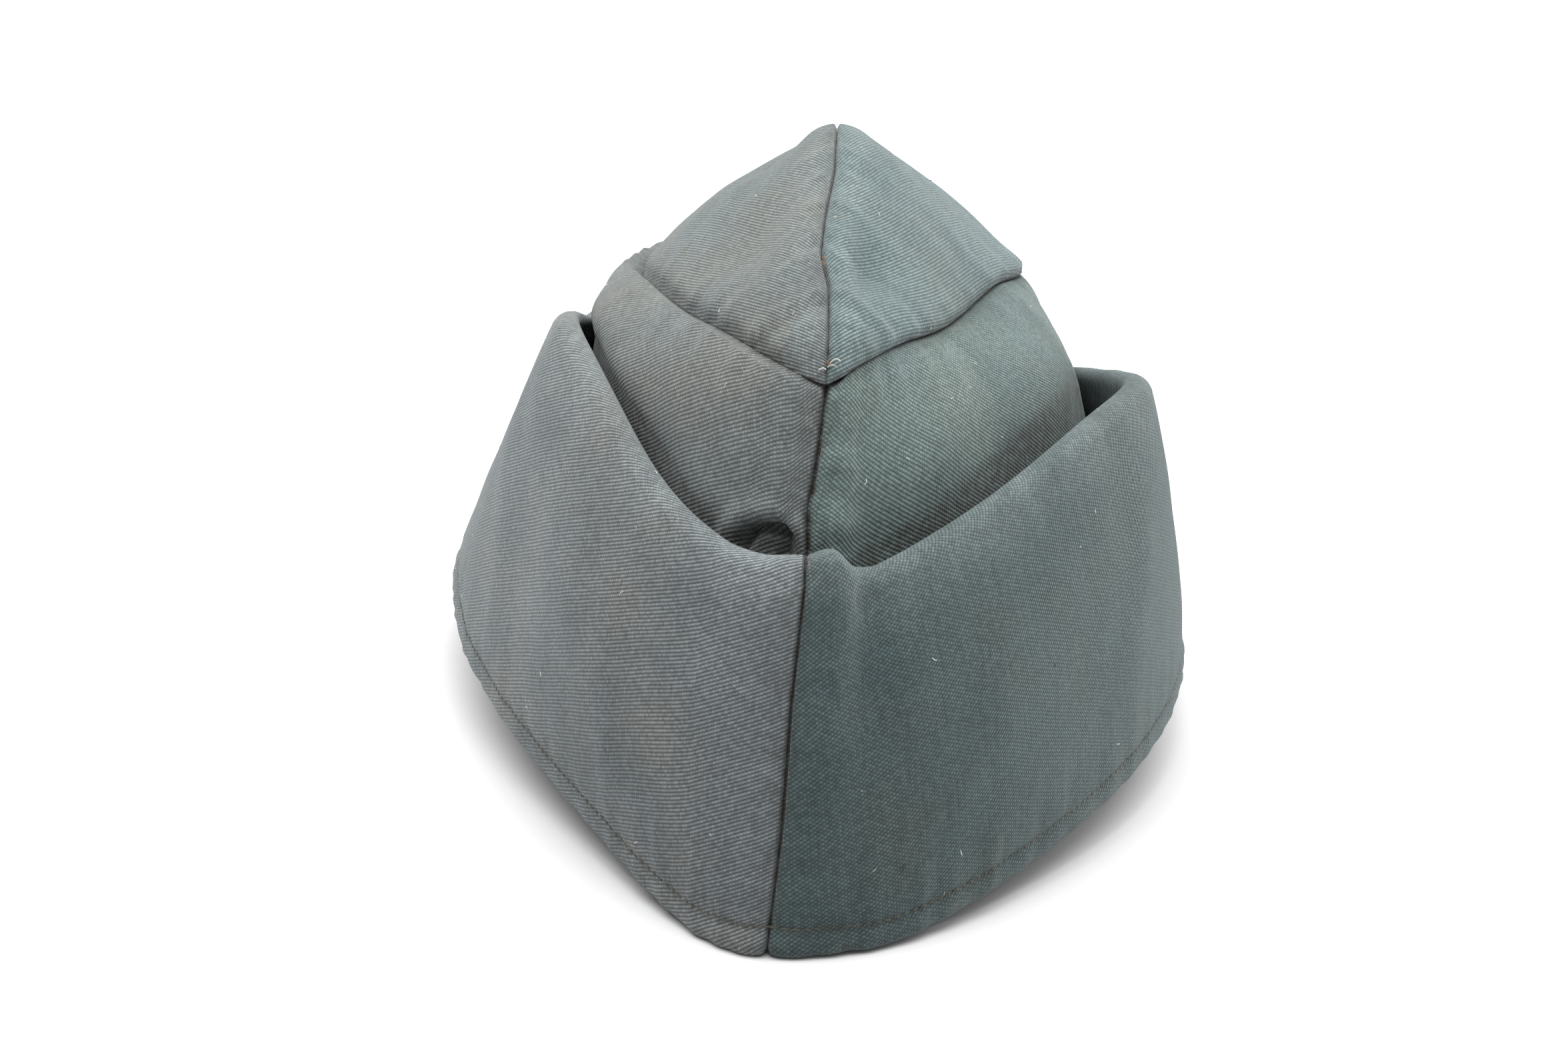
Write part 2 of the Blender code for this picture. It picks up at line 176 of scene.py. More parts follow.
# Seam between side and roof. Columns: turn, height as a share of ROOF_SEAM_HEIGHT,
# belly of the side panel under it as a share of CROWN_BELLY,
# rise of the ridge above it as a share of RIDGE_RISE.
CROWN_ROWS = {
    "left": (
        (0.00, 1.000, 0.10, 0.00),
        (0.10, 1.020, 0.40, 0.25),
        (0.20, 1.025, 0.70, 0.51),
        (0.29, 1.000, 1.00, 0.83),
        (0.40, 0.965, 1.00, 1.08),
        (0.50, 0.905, 0.80, 0.98),
        (0.60, 0.880, 0.80, 0.80),
        (0.72, 0.885, 1.00, 0.54),
        (0.85, 0.910, 0.60, 0.25),
        (1.00, 0.925, 0.10, 0.00),
    ),
    "right": (
        (0.00, 1.000, 0.10, 0.00),
        (0.10, 1.030, 0.30, 0.25),
        (0.20, 1.030, 0.60, 0.51),
        (0.29, 1.008, 0.80, 0.83),
        (0.40, 1.015, 0.60, 1.08),
        (0.50, 0.955, 0.45, 0.98),
        (0.60, 0.900, 0.60, 0.80),
        (0.72, 0.905, 0.80, 0.54),
        (0.85, 0.910, 0.50, 0.25),
        (1.00, 0.925, 0.10, 0.00),
    ),
}

# Soft folds and dents. Columns: turn, level, reach along as a share of the turn,
# reach across as a share of the level, depth inwards as a share of CROWN_WALL.
FOLD_ROWS = {
    "side_left": (
        (0.045, 0.62, 0.030, 0.08, 1.60),
        (0.240, 0.60, 0.050, 0.30, 0.70),
    ),
    "side_right": (
        (0.120, 0.66, 0.040, 0.10, 0.60),
        (0.300, 0.55, 0.050, 0.30, 0.60),
    ),
    "roof_left": (
        (0.300, 0.45, 0.060, 0.30, 1.10),
        (0.420, 0.75, 0.050, 0.20, 0.90),
    ),
    "roof_right": (
        (0.230, 0.60, 0.050, 0.22, 0.80),
        (0.400, 0.35, 0.060, 0.25, 0.50),
    ),
    "turnup_left": (
        (0.170, 0.30, 0.030, 0.25, 0.30),
        (0.330, 0.40, 0.050, 0.30, 0.60),
    ),
    "turnup_right": (
        (0.070, 0.80, 0.025, 0.20, 0.60),
        (0.260, 0.35, 0.050, 0.30, 0.40),
    ),
}

# Creases. Columns: turn and level of the start, turn and level of the end,
# half width in millimetres, height outwards in millimetres.
CREASE_ROWS = {
    "turnup_left": (
        (0.020, 0.90, 0.110, 0.60, 5.0, 0.35),
        (0.060, 0.35, 0.200, 0.75, 8.0, -0.40),
        (0.150, 0.08, 0.240, 0.50, 6.0, 0.35),
        (0.300, 0.55, 0.400, 0.85, 6.0, -0.50),
        (0.330, 0.10, 0.380, 0.60, 6.0, 0.40),
        (0.700, 0.20, 0.780, 0.80, 7.0, -0.50),
    ),
    "turnup_right": (
        (0.035, 0.99, 0.040, 0.86, 3.0, 0.30),
        (0.062, 0.99, 0.085, 0.80, 2.6, -0.50),
        (0.060, 0.60, 0.180, 0.90, 7.0, 0.40),
        (0.120, 0.20, 0.260, 0.60, 8.0, -0.35),
        (0.300, 0.20, 0.360, 0.80, 7.0, 0.40),
        (0.720, 0.30, 0.820, 0.80, 7.0, -0.40),
    ),
    "side_left": (
        (0.030, 0.62, 0.090, 0.70, 3.0, 0.50),
        (0.080, 0.68, 0.200, 0.80, 3.5, -0.35),
        (0.120, 0.90, 0.300, 0.78, 4.0, 0.40),
        (0.220, 0.70, 0.330, 0.92, 4.0, -0.40),
    ),
    "side_right": (
        (0.006, 0.78, 0.070, 0.74, 1.8, -0.55),
        (0.006, 0.86, 0.080, 0.80, 2.4, 0.45),
        (0.010, 0.67, 0.090, 0.62, 2.0, -0.60),
        (0.015, 0.72, 0.110, 0.68, 2.6, 0.45),
        (0.140, 0.72, 0.260, 0.86, 4.0, 0.40),
        (0.200, 0.66, 0.330, 0.74, 4.0, -0.45),
    ),
    "roof_left": (
        (0.220, 0.10, 0.420, 0.55, 4.0, 0.70),
        (0.280, 0.15, 0.440, 0.75, 4.5, -0.80),
        (0.120, 0.55, 0.260, 0.85, 3.5, -0.35),
        (0.380, 0.30, 0.470, 0.95, 3.0, -0.40),
    ),
    "roof_right": (
        (0.180, 0.75, 0.300, 0.45, 4.0, -0.60),
        (0.140, 0.45, 0.260, 0.80, 4.0, 0.40),
        (0.380, 0.10, 0.460, 0.95, 3.0, -0.40),
        (0.300, 0.25, 0.420, 0.45, 4.0, 0.35),
    ),
}

# Cloth of each panel. Columns: colour, lean of the twill lines in degrees,
# share of the relief that the crossing lines have. The colours were set panel by panel to the
# brightness each panel shows, so besides the cloth's own fading and hue they hold painted shade, most
# of all the much darker right turn-up.
PANEL_CLOTH = {
    "turnup_left": ("#5D6264", 26.0, 0.10),
    "turnup_right": ("#3C494A", -24.0, 0.50),
    "side_left": ("#5C6161", 35.0, 0.16),
    "side_right": ("#566563", -40.0, 0.26),
    "roof_left": ("#5D6363", 9.0, 0.14),
    "roof_right": ("#586768", -3.0, 0.14),
}

# Lean of the crossing lines from the twill lines, degrees
CROSS_LEAN = 66.0

# Wander of the seams to the right. Columns: height or depth, shift, both in millimetres.
END_WANDER = (
    (0.0, -0.3),
    (18.0, 0.2),
    (36.0, -0.1),
    (52.0, 0.2),
    (60.0, -0.5),
    (68.0, 0.1),
    (80.0, 0.3),
)
RIDGE_WANDER = (
    (-100.0, 0.3),
    (-84.0, 0.1),
    (-76.0, -0.9),
    (-66.0, -0.5),
    (-50.0, 0.6),
    (0.0, 0.2),
    (100.0, 0.0),
)
WANDER_REACH = 0.009

# Pocket where the left side panel tucks in over the rim. Columns: distance from the end seam,
# height of its middle, half width, half height, width of the groove, depth, all in millimetres.
POCKET = (5.6, 51.4, 4.9, 5.2, 1.05, 3.0)

# Tufts in the ridge seam. Columns: distance from the middle, distance aside and length,
# all in millimetres, heading in degrees, kind.
LOOSE_THREADS = (
    (96.0, 0.0, 1.4, 10.0, "pale"),
    (95.8, 0.3, 1.8, 35.0, "pale"),
    (95.9, 0.1, 0.9, 100.0, "orange"),
    (96.1, -0.2, 1.0, 190.0, "pale"),
    (79.0, -0.2, 0.9, 70.0, "orange"),
    (80.0, -0.1, 0.8, 140.0, "orange"),
)

# Loose threads and lint, metres
THREAD_RADIUS = 0.00009
THREAD_STEPS = 8
THREAD_CORNERS = 6
LINT_LIFT = 0.00004

# Floor and lights, metres and radians
FLOOR_REACH = 4.0
FLOOR_DROP = 0.0002
OVERHEAD_PLACE = (-0.20, 0.12, 1.50)
OVERHEAD_TARGET = (0.0, 0.0, 0.05)
OVERHEAD_ANGLE = 1.45
WINDOW_PLACE = (1.15, 0.35, 0.80)
WINDOW_TARGET = (0.0, 0.0, 0.06)
WINDOW_SIZE = 1.0

# Camera, metres and millimetres, in the same frame as the outlines
CAMERA_PLACE = (0.0064, -0.4790, 0.1807)
CAMERA_FORWARD = (-0.0332, 0.9505, -0.3090)
CAMERA_UP = (-0.0718, 0.3061, 0.9493)
CAMERA_LENS = 64.8
CAMERA_SENSOR = 36.0


class CapClothSettings(bpy.types.PropertyGroup):
    """Weave, colour and wear of the twill."""

    twill_pitch: FloatProperty(
        name="Twill line pitch",
        description="Distance between the twill's diagonal lines",
        default=0.00052,
        unit="LENGTH",
    )
    twill_relief: FloatProperty(
        name="Twill relief",
        description="Height of the yarn floats over the ground",
        default=0.00016,
        unit="LENGTH",
    )
    fade: FloatProperty(
        name="Fade",
        description="How much paler the rim, folds and hem have worn",
        default=0.16,
        min=0.0,
        max=1.0,
        subtype="FACTOR",
    )
    fade_colour: FloatVectorProperty(
        name="Faded cloth",
        description="Colour of the worn cloth",
        size=3,
        default=(0.33, 0.37, 0.36),
        subtype="COLOR",
    )
    # Colour of the seam dust, also used for the painted shade behind the rim and in the tuck
    dust_and_shade_colour: FloatVectorProperty(
        name="Seam dust",
        description="Dark brown dust and shade in the seams",
        size=3,
        default=(0.030, 0.024, 0.019),
        subtype="COLOR",
    )
    unevenness: FloatProperty(
        name="Unevenness",
        description="Height of the cloth's soft random waves",
        default=0.00035,
        unit="LENGTH",
    )
    seam_depth: FloatProperty(
        name="Seam depth",
        description="Depth of the groove at each seam",
        default=0.0009,
        unit="LENGTH",
    )
    pucker: FloatProperty(
        name="Seam pucker",
        description="Height of the small gathers beside the seams",
        default=0.00022,
        unit="LENGTH",
    )


class CapStitchSettings(bpy.types.PropertyGroup):
    """Sewing thread of the hem's stitch line."""

    hem_line: FloatProperty(
        name="Hem stitch line",
        description="Height of the stitch line above the hem's edge",
        default=0.0048,
        unit="LENGTH",
    )
    pitch: FloatProperty(
        name="Stitch pitch",
        description="Distance from one stitch to the next",
        default=0.0016,
        unit="LENGTH",
    )
    length: FloatProperty(
        name="Stitch length",
        description="Length of thread that shows in one stitch",
        default=0.00115,
        unit="LENGTH",
    )
    thickness: FloatProperty(
        name="Thread thickness",
        description="Thickness of the sewing thread",
        default=0.00036,
        unit="LENGTH",
    )
    colour: FloatVectorProperty(
        name="Thread colour",
        description="Colour of the olive sewing thread",
        size=3,
        default=(0.050, 0.050, 0.030),
        subtype="COLOR",
    )


class CapLintSettings(bpy.types.PropertyGroup):
    """Pale lint and dark flecks caught on the nap."""

    density: FloatProperty(
        name="Lint density",
        description="Fibres of lint on each square metre of cloth",
        default=2600.0,
        min=0.0,
    )
    fibre_length: FloatProperty(
        name="Fibre length",
        description="Length of a usual fibre",
        default=0.0006,
        unit="LENGTH",
    )
    fibre_thickness: FloatProperty(
        name="Fibre thickness",
        description="Thickness of a fibre",
        default=0.00007,
        unit="LENGTH",
    )
    fleck_share: FloatProperty(
        name="Fleck share",
        description="Dark flecks for each pale fibre",
        default=0.22,
        min=0.0,
    )
    seed: IntProperty(
        name="Seed",
        description="Fixes the scatter of the lint",
        default=7,
        min=0,
    )


class CapStageSettings(bpy.types.PropertyGroup):
    """Floor and light."""

    floor_colour: FloatVectorProperty(
        name="Floor",
        description="Colour of the pale floor",
        size=3,
        default=(0.56, 0.56, 0.56),
        subtype="COLOR",
    )
    overhead_power: FloatProperty(
        name="Overhead light",
        description="Strength of the broad soft light above, watts on a square metre",
        default=6.8,
        min=0.0,
    )
    side_power: FloatProperty(
        name="Side light",
        description="Power of the soft light on the right",
        default=10.0,
        unit="POWER",
    )
    room_strength: FloatProperty(
        name="Room light",
        description="Strength of the even light from all round",
        default=0.50,
        min=0.0,
    )


def srgb(code):
    """Linear colour of a hexadecimal sRGB code."""
    values = [int(code[index:index + 2], 16) / 255.0 for index in (1, 3, 5)]
    linear = [v / 12.92 if v <= 0.04045 else ((v + 0.055) / 1.055) ** 2.4 for v in values]
    return (*linear, 1.0)


def unit(vector):
    """The vector at length one."""
    return vector / np.linalg.norm(vector)


def unit_rows(rows):
    """Each direction of an array at length one."""
    return rows / np.linalg.norm(rows, axis=-1, keepdims=True)


def hump(distance, width, middle=0.0):
    """A smooth rise to one at the middle and away to nothing within about two widths."""
    return np.exp(-((distance - middle) / width) ** 2)


def read_row(rows, column, turn):
    """A smooth value of one column of a table at a turn between its rows."""
    turns = [row[0] for row in rows]
    values = [row[column] for row in rows]
    last = len(rows) - 1
    slopes = []
    for index in range(len(rows)):
        before = max(index - 1, 0)
        after = min(index + 1, last)
        slopes.append((values[after] - values[before]) / (turns[after] - turns[before]))
    low = max(min(int(np.searchsorted(turns, turn)) - 1, last - 1), 0)
    span = turns[low + 1] - turns[low]
    share = (turn - turns[low]) / span
    square = share * share
    cube = square * share
    start = (2 * cube - 3 * square + 1) * values[low]
    start += (cube - 2 * square + share) * span * slopes[low]
    end = (3 * square - 2 * cube) * values[low + 1]
    end += (cube - square) * span * slopes[low + 1]
    return start + end


def panel_turns(kind):
    """Turns of the sections of a panel, close together near the two end seams."""
    steps = np.linspace(0.0, 1.0, TURNS[kind] + 1)
    return steps - END_CROWDING * np.sin(2.0 * math.pi * steps) / (2.0 * math.pi)


def end_seam_x(height):
    """Where the leaning plane of the end seams stands at a height."""
    return END_SEAM_X + END_SEAM_TILT * (height - END_SEAM_LEVEL)


def side_levels():
    """Levels of a side panel: few below the rim, close together under the roof seam."""
    hidden = np.linspace(0.0, WAIST_LEVEL * 0.9, HIDDEN_LEVELS + 1)[:-1]
    steps = np.linspace(0.0, 1.0, LEVELS["side"] - HIDDEN_LEVELS + 1)
    steps = steps + 0.55 * np.sin(math.pi * steps) / math.pi
    return np.concatenate((hidden, WAIST_LEVEL * 0.9 + (1.0 - WAIST_LEVEL * 0.9) * steps))


def roof_levels():
    """Levels of a roof panel, close together beside both of its seams."""
    steps = np.linspace(0.0, 1.0, LEVELS["roof"] + 1)
    return steps - 0.78 * np.sin(2.0 * math.pi * steps) / (2.0 * math.pi)


def outline(side, turn, height, half_length, half_width, pinch, width_column=None):
    """A point of a boat-shaped outline and its outward direction, both at height zero."""
    def place(turn):
        """Point of the outline at a turn from the end seam."""
        angle = math.pi * turn
        lean = math.sqrt(math.cos(angle) ** 2 + PINCH_BLEND ** 2) - PINCH_BLEND
        across = half_width * math.sin(angle) * (1.0 - pinch * lean)
        if width_column is not None:
            across *= read_row(RIM_ROWS[side], width_column, min(max(turn, 0.0), 1.0))
        along = -half_length * math.cos(angle)
        slant = end_seam_x(height) * abs(math.cos(angle)) ** 3
        return np.array((SIDES[side] * across + slant, along, 0.0))

    step = 0.001
    tangent = unit(place(turn + step) - place(turn - step))
    outward = np.array((tangent[1], -tangent[0], 0.0)) * SIDES[side]
    straight = np.array((0.0, -1.0 if turn < 0.5 else 1.0, 0.0))
    nearness = max(0.0, 1.0 - min(turn, 1.0 - turn) / 0.012)
    return place(turn), unit(outward * (1.0 - nearness) + straight * nearness)


def hem_height(turn):
    """Height of the hem: flat on the ground near both ends, lifted in the middle."""
    rise = (math.sin(math.pi * turn) ** 2 - REST_SHARE ** 2) / (1.0 - REST_SHARE ** 2)
    return HEM_LIFT * max(rise, 0.0)


def hem_point(side, turn):
    """Outer lower edge of the turn-up."""
    place, outward = outline(side, turn, 0.0, HEM_HALF_LENGTH, HEM_HALF_WIDTH, HEM_PINCH, 4)
    place[2] = hem_height(turn)
    return place, outward


def rim_point(side, turn):
    """Middle of the rolled rim of the turn-up."""
    place, outward = outline(
        side, turn, TURNUP_HEIGHT, RIM_HALF_LENGTH, RIM_HALF_WIDTH, RIM_PINCH, 5
    )
    place = place - outward * RIM_ROLL_RADIUS
    place[2] = hem_height(turn) + TURNUP_HEIGHT * read_row(RIM_ROWS[side], 1, turn) - RIM_ROLL_RADIUS
    return place, outward


def waist_point(side, turn):
    """Outer face of the crown level with the rim, one gap inside the roll."""
    place, outward = rim_point(side, turn)
    gap = END_GAP + RIM_GAP * read_row(RIM_ROWS[side], 3, turn)
    return place - outward * (RIM_ROLL_RADIUS + gap)


def roof_seam_point(side, turn):
    """Outer line of the seam between a side panel and its roof panel."""
    place, _ = outline(
        side, turn, ROOF_SEAM_HEIGHT, ROOF_HALF_LENGTH, ROOF_HALF_WIDTH, ROOF_PINCH[side]
    )
    place[0] += CROWN_LEAN_X * math.sin(math.pi * turn) ** 2
    place[2] = ROOF_SEAM_HEIGHT * read_row(CROWN_ROWS[side], 1, turn)
    return place


def ridge_point(turn):
    """Outer line of the ridge seam."""
    left = roof_seam_point("left", turn)
    right = roof_seam_point("right", turn)
    rise = RIDGE_RISE * read_row(CROWN_ROWS["right"], 3, turn)
    across = end_seam_x(ROOF_SEAM_HEIGHT) + RIDGE_LEAN_X * math.sin(math.pi * turn) ** 2
    return np.array((across, (left[1] + right[1]) / 2.0, (left[2] + right[2]) / 2.0 + rise))


def fold_depth(name, turn, level):
    """How far the folds and dents of a panel press its face inwards."""
    depth = 0.0
    for row in FOLD_ROWS[name]:
        along = (turn - row[0]) / row[2]
        across = (level - row[1]) / row[3]
        depth += CROWN_WALL * row[4] * math.exp(-(along ** 2 + across ** 2))
    return depth * min(30.0 * turn * (1.0 - turn), 1.0)


def base_shift():
    """From the outlines' middle to the frame's origin, along X."""
    left = min(hem_point("left", turn)[0][0] for turn in np.linspace(0.3, 0.7, 161))
    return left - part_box("turnup_left")[0][0]


def in_frame(points):
    """Points of the outlines moved to the frame's own origin."""
    return points - np.array((base_shift(), 0.0, 0.0))


def side_place(foot, waist, seam, outward, belly, level):
    """Straight from the foot to the waist, then rounded in to the roof seam."""
    if level <= WAIST_LEVEL:
        share = level / WAIST_LEVEL
        return foot + (waist - foot) * share - outward * HIDDEN_SLACK * 4.0 * share * (1.0 - share)
    share = (level - WAIST_LEVEL) / (1.0 - WAIST_LEVEL)
    return waist + (seam - waist) * share + outward * belly * 4.0 * share * (1.0 - share)


def side_grid(side):
    """Outer face of a side panel, from its foot inside the hem to the roof seam."""
    name = "side_" + side
    grid = []
    for turn in panel_turns("crown"):
        hem, outward = hem_point(side, turn)
        foot = hem - outward * (TURNUP_WALL + LAYER_GAP)
        foot[2] += FOOT_LIFT
        waist = waist_point(side, turn)
        seam = roof_seam_point(side, turn)
        belly = CROWN_BELLY * read_row(CROWN_ROWS[side], 2, turn)
        row = []
        for level in side_levels():
            press = fold_depth(name, turn, level) * math.sin(math.pi * level)
            row.append(side_place(foot, waist, seam, outward, belly, level) - outward * press)
        grid.append(row)
    return np.array(grid)


def roof_grid(side):
    """Outer face of a roof panel, from the roof seam up to the ridge seam."""
    name = "roof_" + side
    grid = []
    for turn in panel_turns("crown")[TIP_SKIP:-TIP_SKIP]:
        seam = roof_seam_point(side, turn)
        ridge = ridge_point(turn)
        across = unit(ridge - seam)
        upward = unit(np.array((abs(across[2]) * SIDES[side], 0.0, abs(across[0]))))
        camber = ROOF_CAMBER * math.sin(math.pi * turn)
        row = []
        for level in roof_levels():
            lift = camber * 4.0 * level * (1.0 - level)
            lift -= fold_depth(name, turn, level) * math.sin(math.pi * level)
            row.append(seam + (ridge - seam) * level + upward * lift)
        grid.append(row)
    return np.array(grid)


def turnup_grids(side):
    """Outer and inner faces of one half of the turn-up, from under the hem to the top of the roll."""
    name = "turnup_" + side
    outer = []
    inner = []
    for turn in panel_turns("turnup"):
        hem, outward = hem_point(side, turn)
        radius = TURNUP_WALL / 2.0
        foot = hem - outward * radius
        foot[2] += radius
        rim, _ = rim_point(side, turn)
        upward = unit(rim - foot)
        belly = TURNUP_BELLY * read_row(RIM_ROWS[side], 2, turn)
        face = []
        back = []
        for degrees in HEM_ROLL_ANGLES:
            angle = math.radians(degrees)
            drop = np.array((0.0, 0.0, -radius * math.sin(angle)))
            face.append(foot + drop + outward * radius * math.cos(angle))
            back.append(foot + drop - outward * radius * math.cos(angle))
        for level in np.linspace(0.0, 1.0, LEVELS["turnup"] + 1):
            push = belly * 4.0 * level * (1.0 - level)
            push -= fold_depth(name, turn, level) * min(level * 6.0, 1.0)
            middle = foot + (rim - foot) * level + outward * push
            half = radius + (RIM_ROLL_RADIUS - radius) * level
            face.append(middle + outward * half)
            back.append(middle - outward * half)
        top = (face[-1] + back[-1]) / 2.0
        for degrees in RIM_ROLL_ANGLES:
            angle = math.radians(degrees)
            spread = outward * RIM_ROLL_RADIUS * math.cos(angle)
            rise = upward * RIM_ROLL_RADIUS * math.sin(angle)
            face.append(top + rise + spread)
            back.append(top + rise - spread)
        outer.append(face)
        inner.append(back)
    return np.array(outer), np.array(inner)


def grid_normals(grid, hand):
    """Outward directions of a grid's points."""
    along = np.gradient(grid, axis=0)
    across = np.gradient(grid, axis=1)
    normals = np.cross(along, across) * hand
    return unit_rows(normals)


def run_lengths(grid, axis):
    """Distance along a grid from its first row or column."""
    steps = np.linalg.norm(np.diff(grid, axis=axis), axis=2)
    run = np.cumsum(steps, axis=axis)
    pad = [(0, 0), (0, 0)]
    pad[axis] = (1, 0)
    return np.pad(run, pad)


def level_run(grid, column):
    """Distance along one row of levels of a grid, repeated for all its levels."""
    run = run_lengths(grid, 0)[:, column]
    return np.repeat(run[:, None], grid.shape[1], axis=1)


def soft_waves(grid, reach, seed):
    """Smooth random height between about minus one and one over a grid's points."""
    offset = Vector((seed * 3.1, seed * 1.7, seed * 2.3))
    flat = grid.reshape(-1, 3) / reach
    values = [noise.noise(Vector(point) + offset) for point in flat]
    return np.array(values).reshape(grid.shape[:2]) * 1.6


def crease_heights(name, turns, levels, along, across):
    """Height of the table's creases over a panel, from distances along and across it."""
    total = np.zeros(along.shape)
    for turn_a, level_a, turn_b, level_b, width, height in CREASE_ROWS[name]:
        ends = []
        for turn, level in ((turn_a, level_a), (turn_b, level_b)):
            i = int(np.argmin(np.abs(turns - turn)))
            j = int(np.argmin(np.abs(levels - level)))
            ends.append(np.array((along[i, j], across[i, j])))
        span = ends[1] - ends[0]
        length = max(float(np.hypot(*span)), 1e-6)
        share = ((along - ends[0][0]) * span[0] + (across - ends[0][1]) * span[1]) / length ** 2
        inside = np.clip(share, 0.0, 1.0)
        gap_along = along - ends[0][0] - inside * span[0]
        gap_across = across - ends[0][1] - inside * span[1]
        distance = np.hypot(gap_along, gap_across)
        taper = np.sin(math.pi * (0.12 + 0.76 * inside))
        total += height * 0.001 * taper * hump(distance, width * 0.001)
    return total


def seam_profile(distance, depth, swell_height=SWELL_HEIGHT):
    """Height of a seam's narrow groove, the valley round it and the soft swell beside it."""
    groove = -depth * hump(distance, GROOVE_WIDTH)
    valley = -VALLEY_DEPTH * hump(distance, VALLEY_WIDTH)
    swell = swell_height * hump(distance, SWELL_WIDTH, SWELL_PLACE)
    return groove + valley + swell


def seam_dust(distance):
    """Share of dust and shade in a seam: a dark line with a faint stain beside it."""
    return hump(distance, DUST_LINE_WIDTH) + 0.26 * hump(distance, DUST_STAIN_WIDTH)


def seam_gathers(distance, run, height, pitch):
    """Small gathers that cross a seam and die away from it."""
    wobble = np.sin(2.0 * math.pi * run / pitch + 2.3 * np.sin(run / 0.019))
    wobble += 0.6 * np.sin(2.0 * math.pi * run / (pitch * 0.61) + 1.1)
    fade = np.exp(-distance / GATHER_FADE) * np.clip(distance / GATHER_START, 0.0, 1.0)
    return height * wobble * fade


def pocket_height(from_end, high, turns):
    """Arched tuck in the side panel just above the rim, near end only."""
    middle, level, wide, tall, groove, depth = (value * 0.001 for value in POCKET)
    along = (from_end - middle) / wide
    up = (high - level) / tall
    reach = np.hypot(along, up)
    ring = hump((reach - 1.0) * tall, groove)
    upper = 1.0 / (1.0 + np.exp(-(high - level) / 0.0012))
    lip = hump((reach - 1.55) * tall, groove * 1.5)
    near = (turns < 0.5)[:, None]
    hollow = 1.0 / (1.0 + np.exp((reach - 0.9) * tall / 0.0009))
    calm = 1.0 - hump(from_end, 0.0016)
    return near * upper * calm * (0.0009 * lip - depth * np.maximum(ring, 0.45 * hollow))


def mitre(edge, first, second, towards, wall):
    """Inward steps along a seam shared by two walls, and the direction across it to the first."""
    inward = unit_rows(-(first + second))
    slant = -np.einsum("ij,ij->i", inward, first)
    parting = unit_rows(np.cross(np.gradient(edge, axis=0), inward))
    parting *= np.sign(np.einsum("ij,ij->i", parting, towards))[:, None]
    return inward * (wall / np.maximum(slant, 0.4))[:, None], parting


def keep_own_half(grid, side):
    """Hold a grid on its own side of the plane through the end seams."""
    sections = np.arange(len(grid))
    least = SEAM_SLIT + 0.00006 * np.minimum(sections, sections[::-1])
    plane = end_seam_x(grid[..., 2])
    depth = SIDES[side] * (grid[..., 0] - plane)
    grid[..., 0] = plane + SIDES[side] * np.maximum(depth, least[:, None])


def shut_ends(grid, side):
    """Set both ends of a grid on the end seams' plane."""
    for index in (0, -1):
        grid[index, :, 0] = end_seam_x(grid[index, :, 2]) + SIDES[side] * SEAM_SLIT


def wandered(points):
    """Points moved aside with the seams, which don't run quite straight."""
    x, y, z = points[..., 0], points[..., 1], points[..., 2]
    heights, shifts = (np.array(column) * 0.001 for column in zip(*END_WANDER))
    nose = np.clip((-y - 0.070) / 0.020, 0.0, 1.0)
    nose = nose * nose * (3.0 - 2.0 * nose)
    gap = (x - end_seam_x(z)) / WANDER_REACH
    shift = np.interp(z, heights, shifts) * np.exp(-gap ** 2) * nose
    depths, shifts = (np.array(column) * 0.001 for column in zip(*RIDGE_WANDER))
    roof = np.clip((z - 0.060) / 0.015, 0.0, 1.0)
    lean = RIDGE_LEAN_X * (1.0 - (y / ROOF_HALF_LENGTH) ** 2)
    gap = (x - end_seam_x(ROOF_SEAM_HEIGHT) - lean) / WANDER_REACH
    shift += np.interp(y, depths, shifts) * np.exp(-gap ** 2) * roof
    moved = points.copy()
    moved[..., 0] += shift
    return moved


def panel_mesh(name, outer, inner, run, rise, seam, edge):
    """A closed cloth body from its two faces, with distances as its UV map and attributes for wear,
    seam dust and painted shade.
    """
    count, width = outer.shape[:2]
    ring = np.concatenate((outer, inner[:, ::-1]), axis=1)
    size = 2 * width
    points = in_frame(wandered(ring)).reshape(-1, 3)
    faces = []
    columns = []
    for i in range(count - 1):
        for j in range(size):
            k = (j + 1) % size
            faces.append((i * size + j, (i + 1) * size + j, (i + 1) * size + k, i * size + k))
            columns.append(((i, j), (i + 1, j), (i + 1, j + 1), (i, j + 1)))
    for i in (0, count - 1):
        for j in range(width - 1):
            corners = (j, j + 1, size - 2 - j, size - 1 - j)
            if i:
                corners = corners[::-1]
            faces.append(tuple(i * size + corner for corner in corners))
            columns.append(tuple((i, corner) for corner in corners))
    mesh = bpy.data.meshes.new(name)
    mesh.from_pydata(points.tolist(), [], faces)

    back_rise = rise[:, -1:] + (rise[:, -1:] - rise[:, ::-1]) + 0.001
    full_rise = np.concatenate((rise, back_rise, back_rise[:, -1:] + 0.002), axis=1)
    full_run = np.concatenate((run, run[:, ::-1], run[:, :1]), axis=1)
    corners = np.array([pair for face in columns for pair in face])
    coords = np.stack(
        (full_run[corners[:, 0], corners[:, 1]], full_rise[corners[:, 0], corners[:, 1]]), axis=1
    )
    layer = mesh.uv_layers.new(name="cloth")
    layer.data.foreach_set("uv", coords.astype(np.float32).ravel())
    for label, values in (("seam", seam), ("edge", edge)):
        both = np.concatenate((values, values[:, ::-1]), axis=1)
        attribute = mesh.attributes.new(label, "FLOAT", "POINT")
        attribute.data.foreach_set("value", both.astype(np.float32).ravel())
    mesh.validate()
    piece = bpy.data.objects.new(name, mesh)
    bpy.context.scene.collection.objects.link(piece)
    face_outwards(piece)
    mesh.shade_smooth()
    return piece


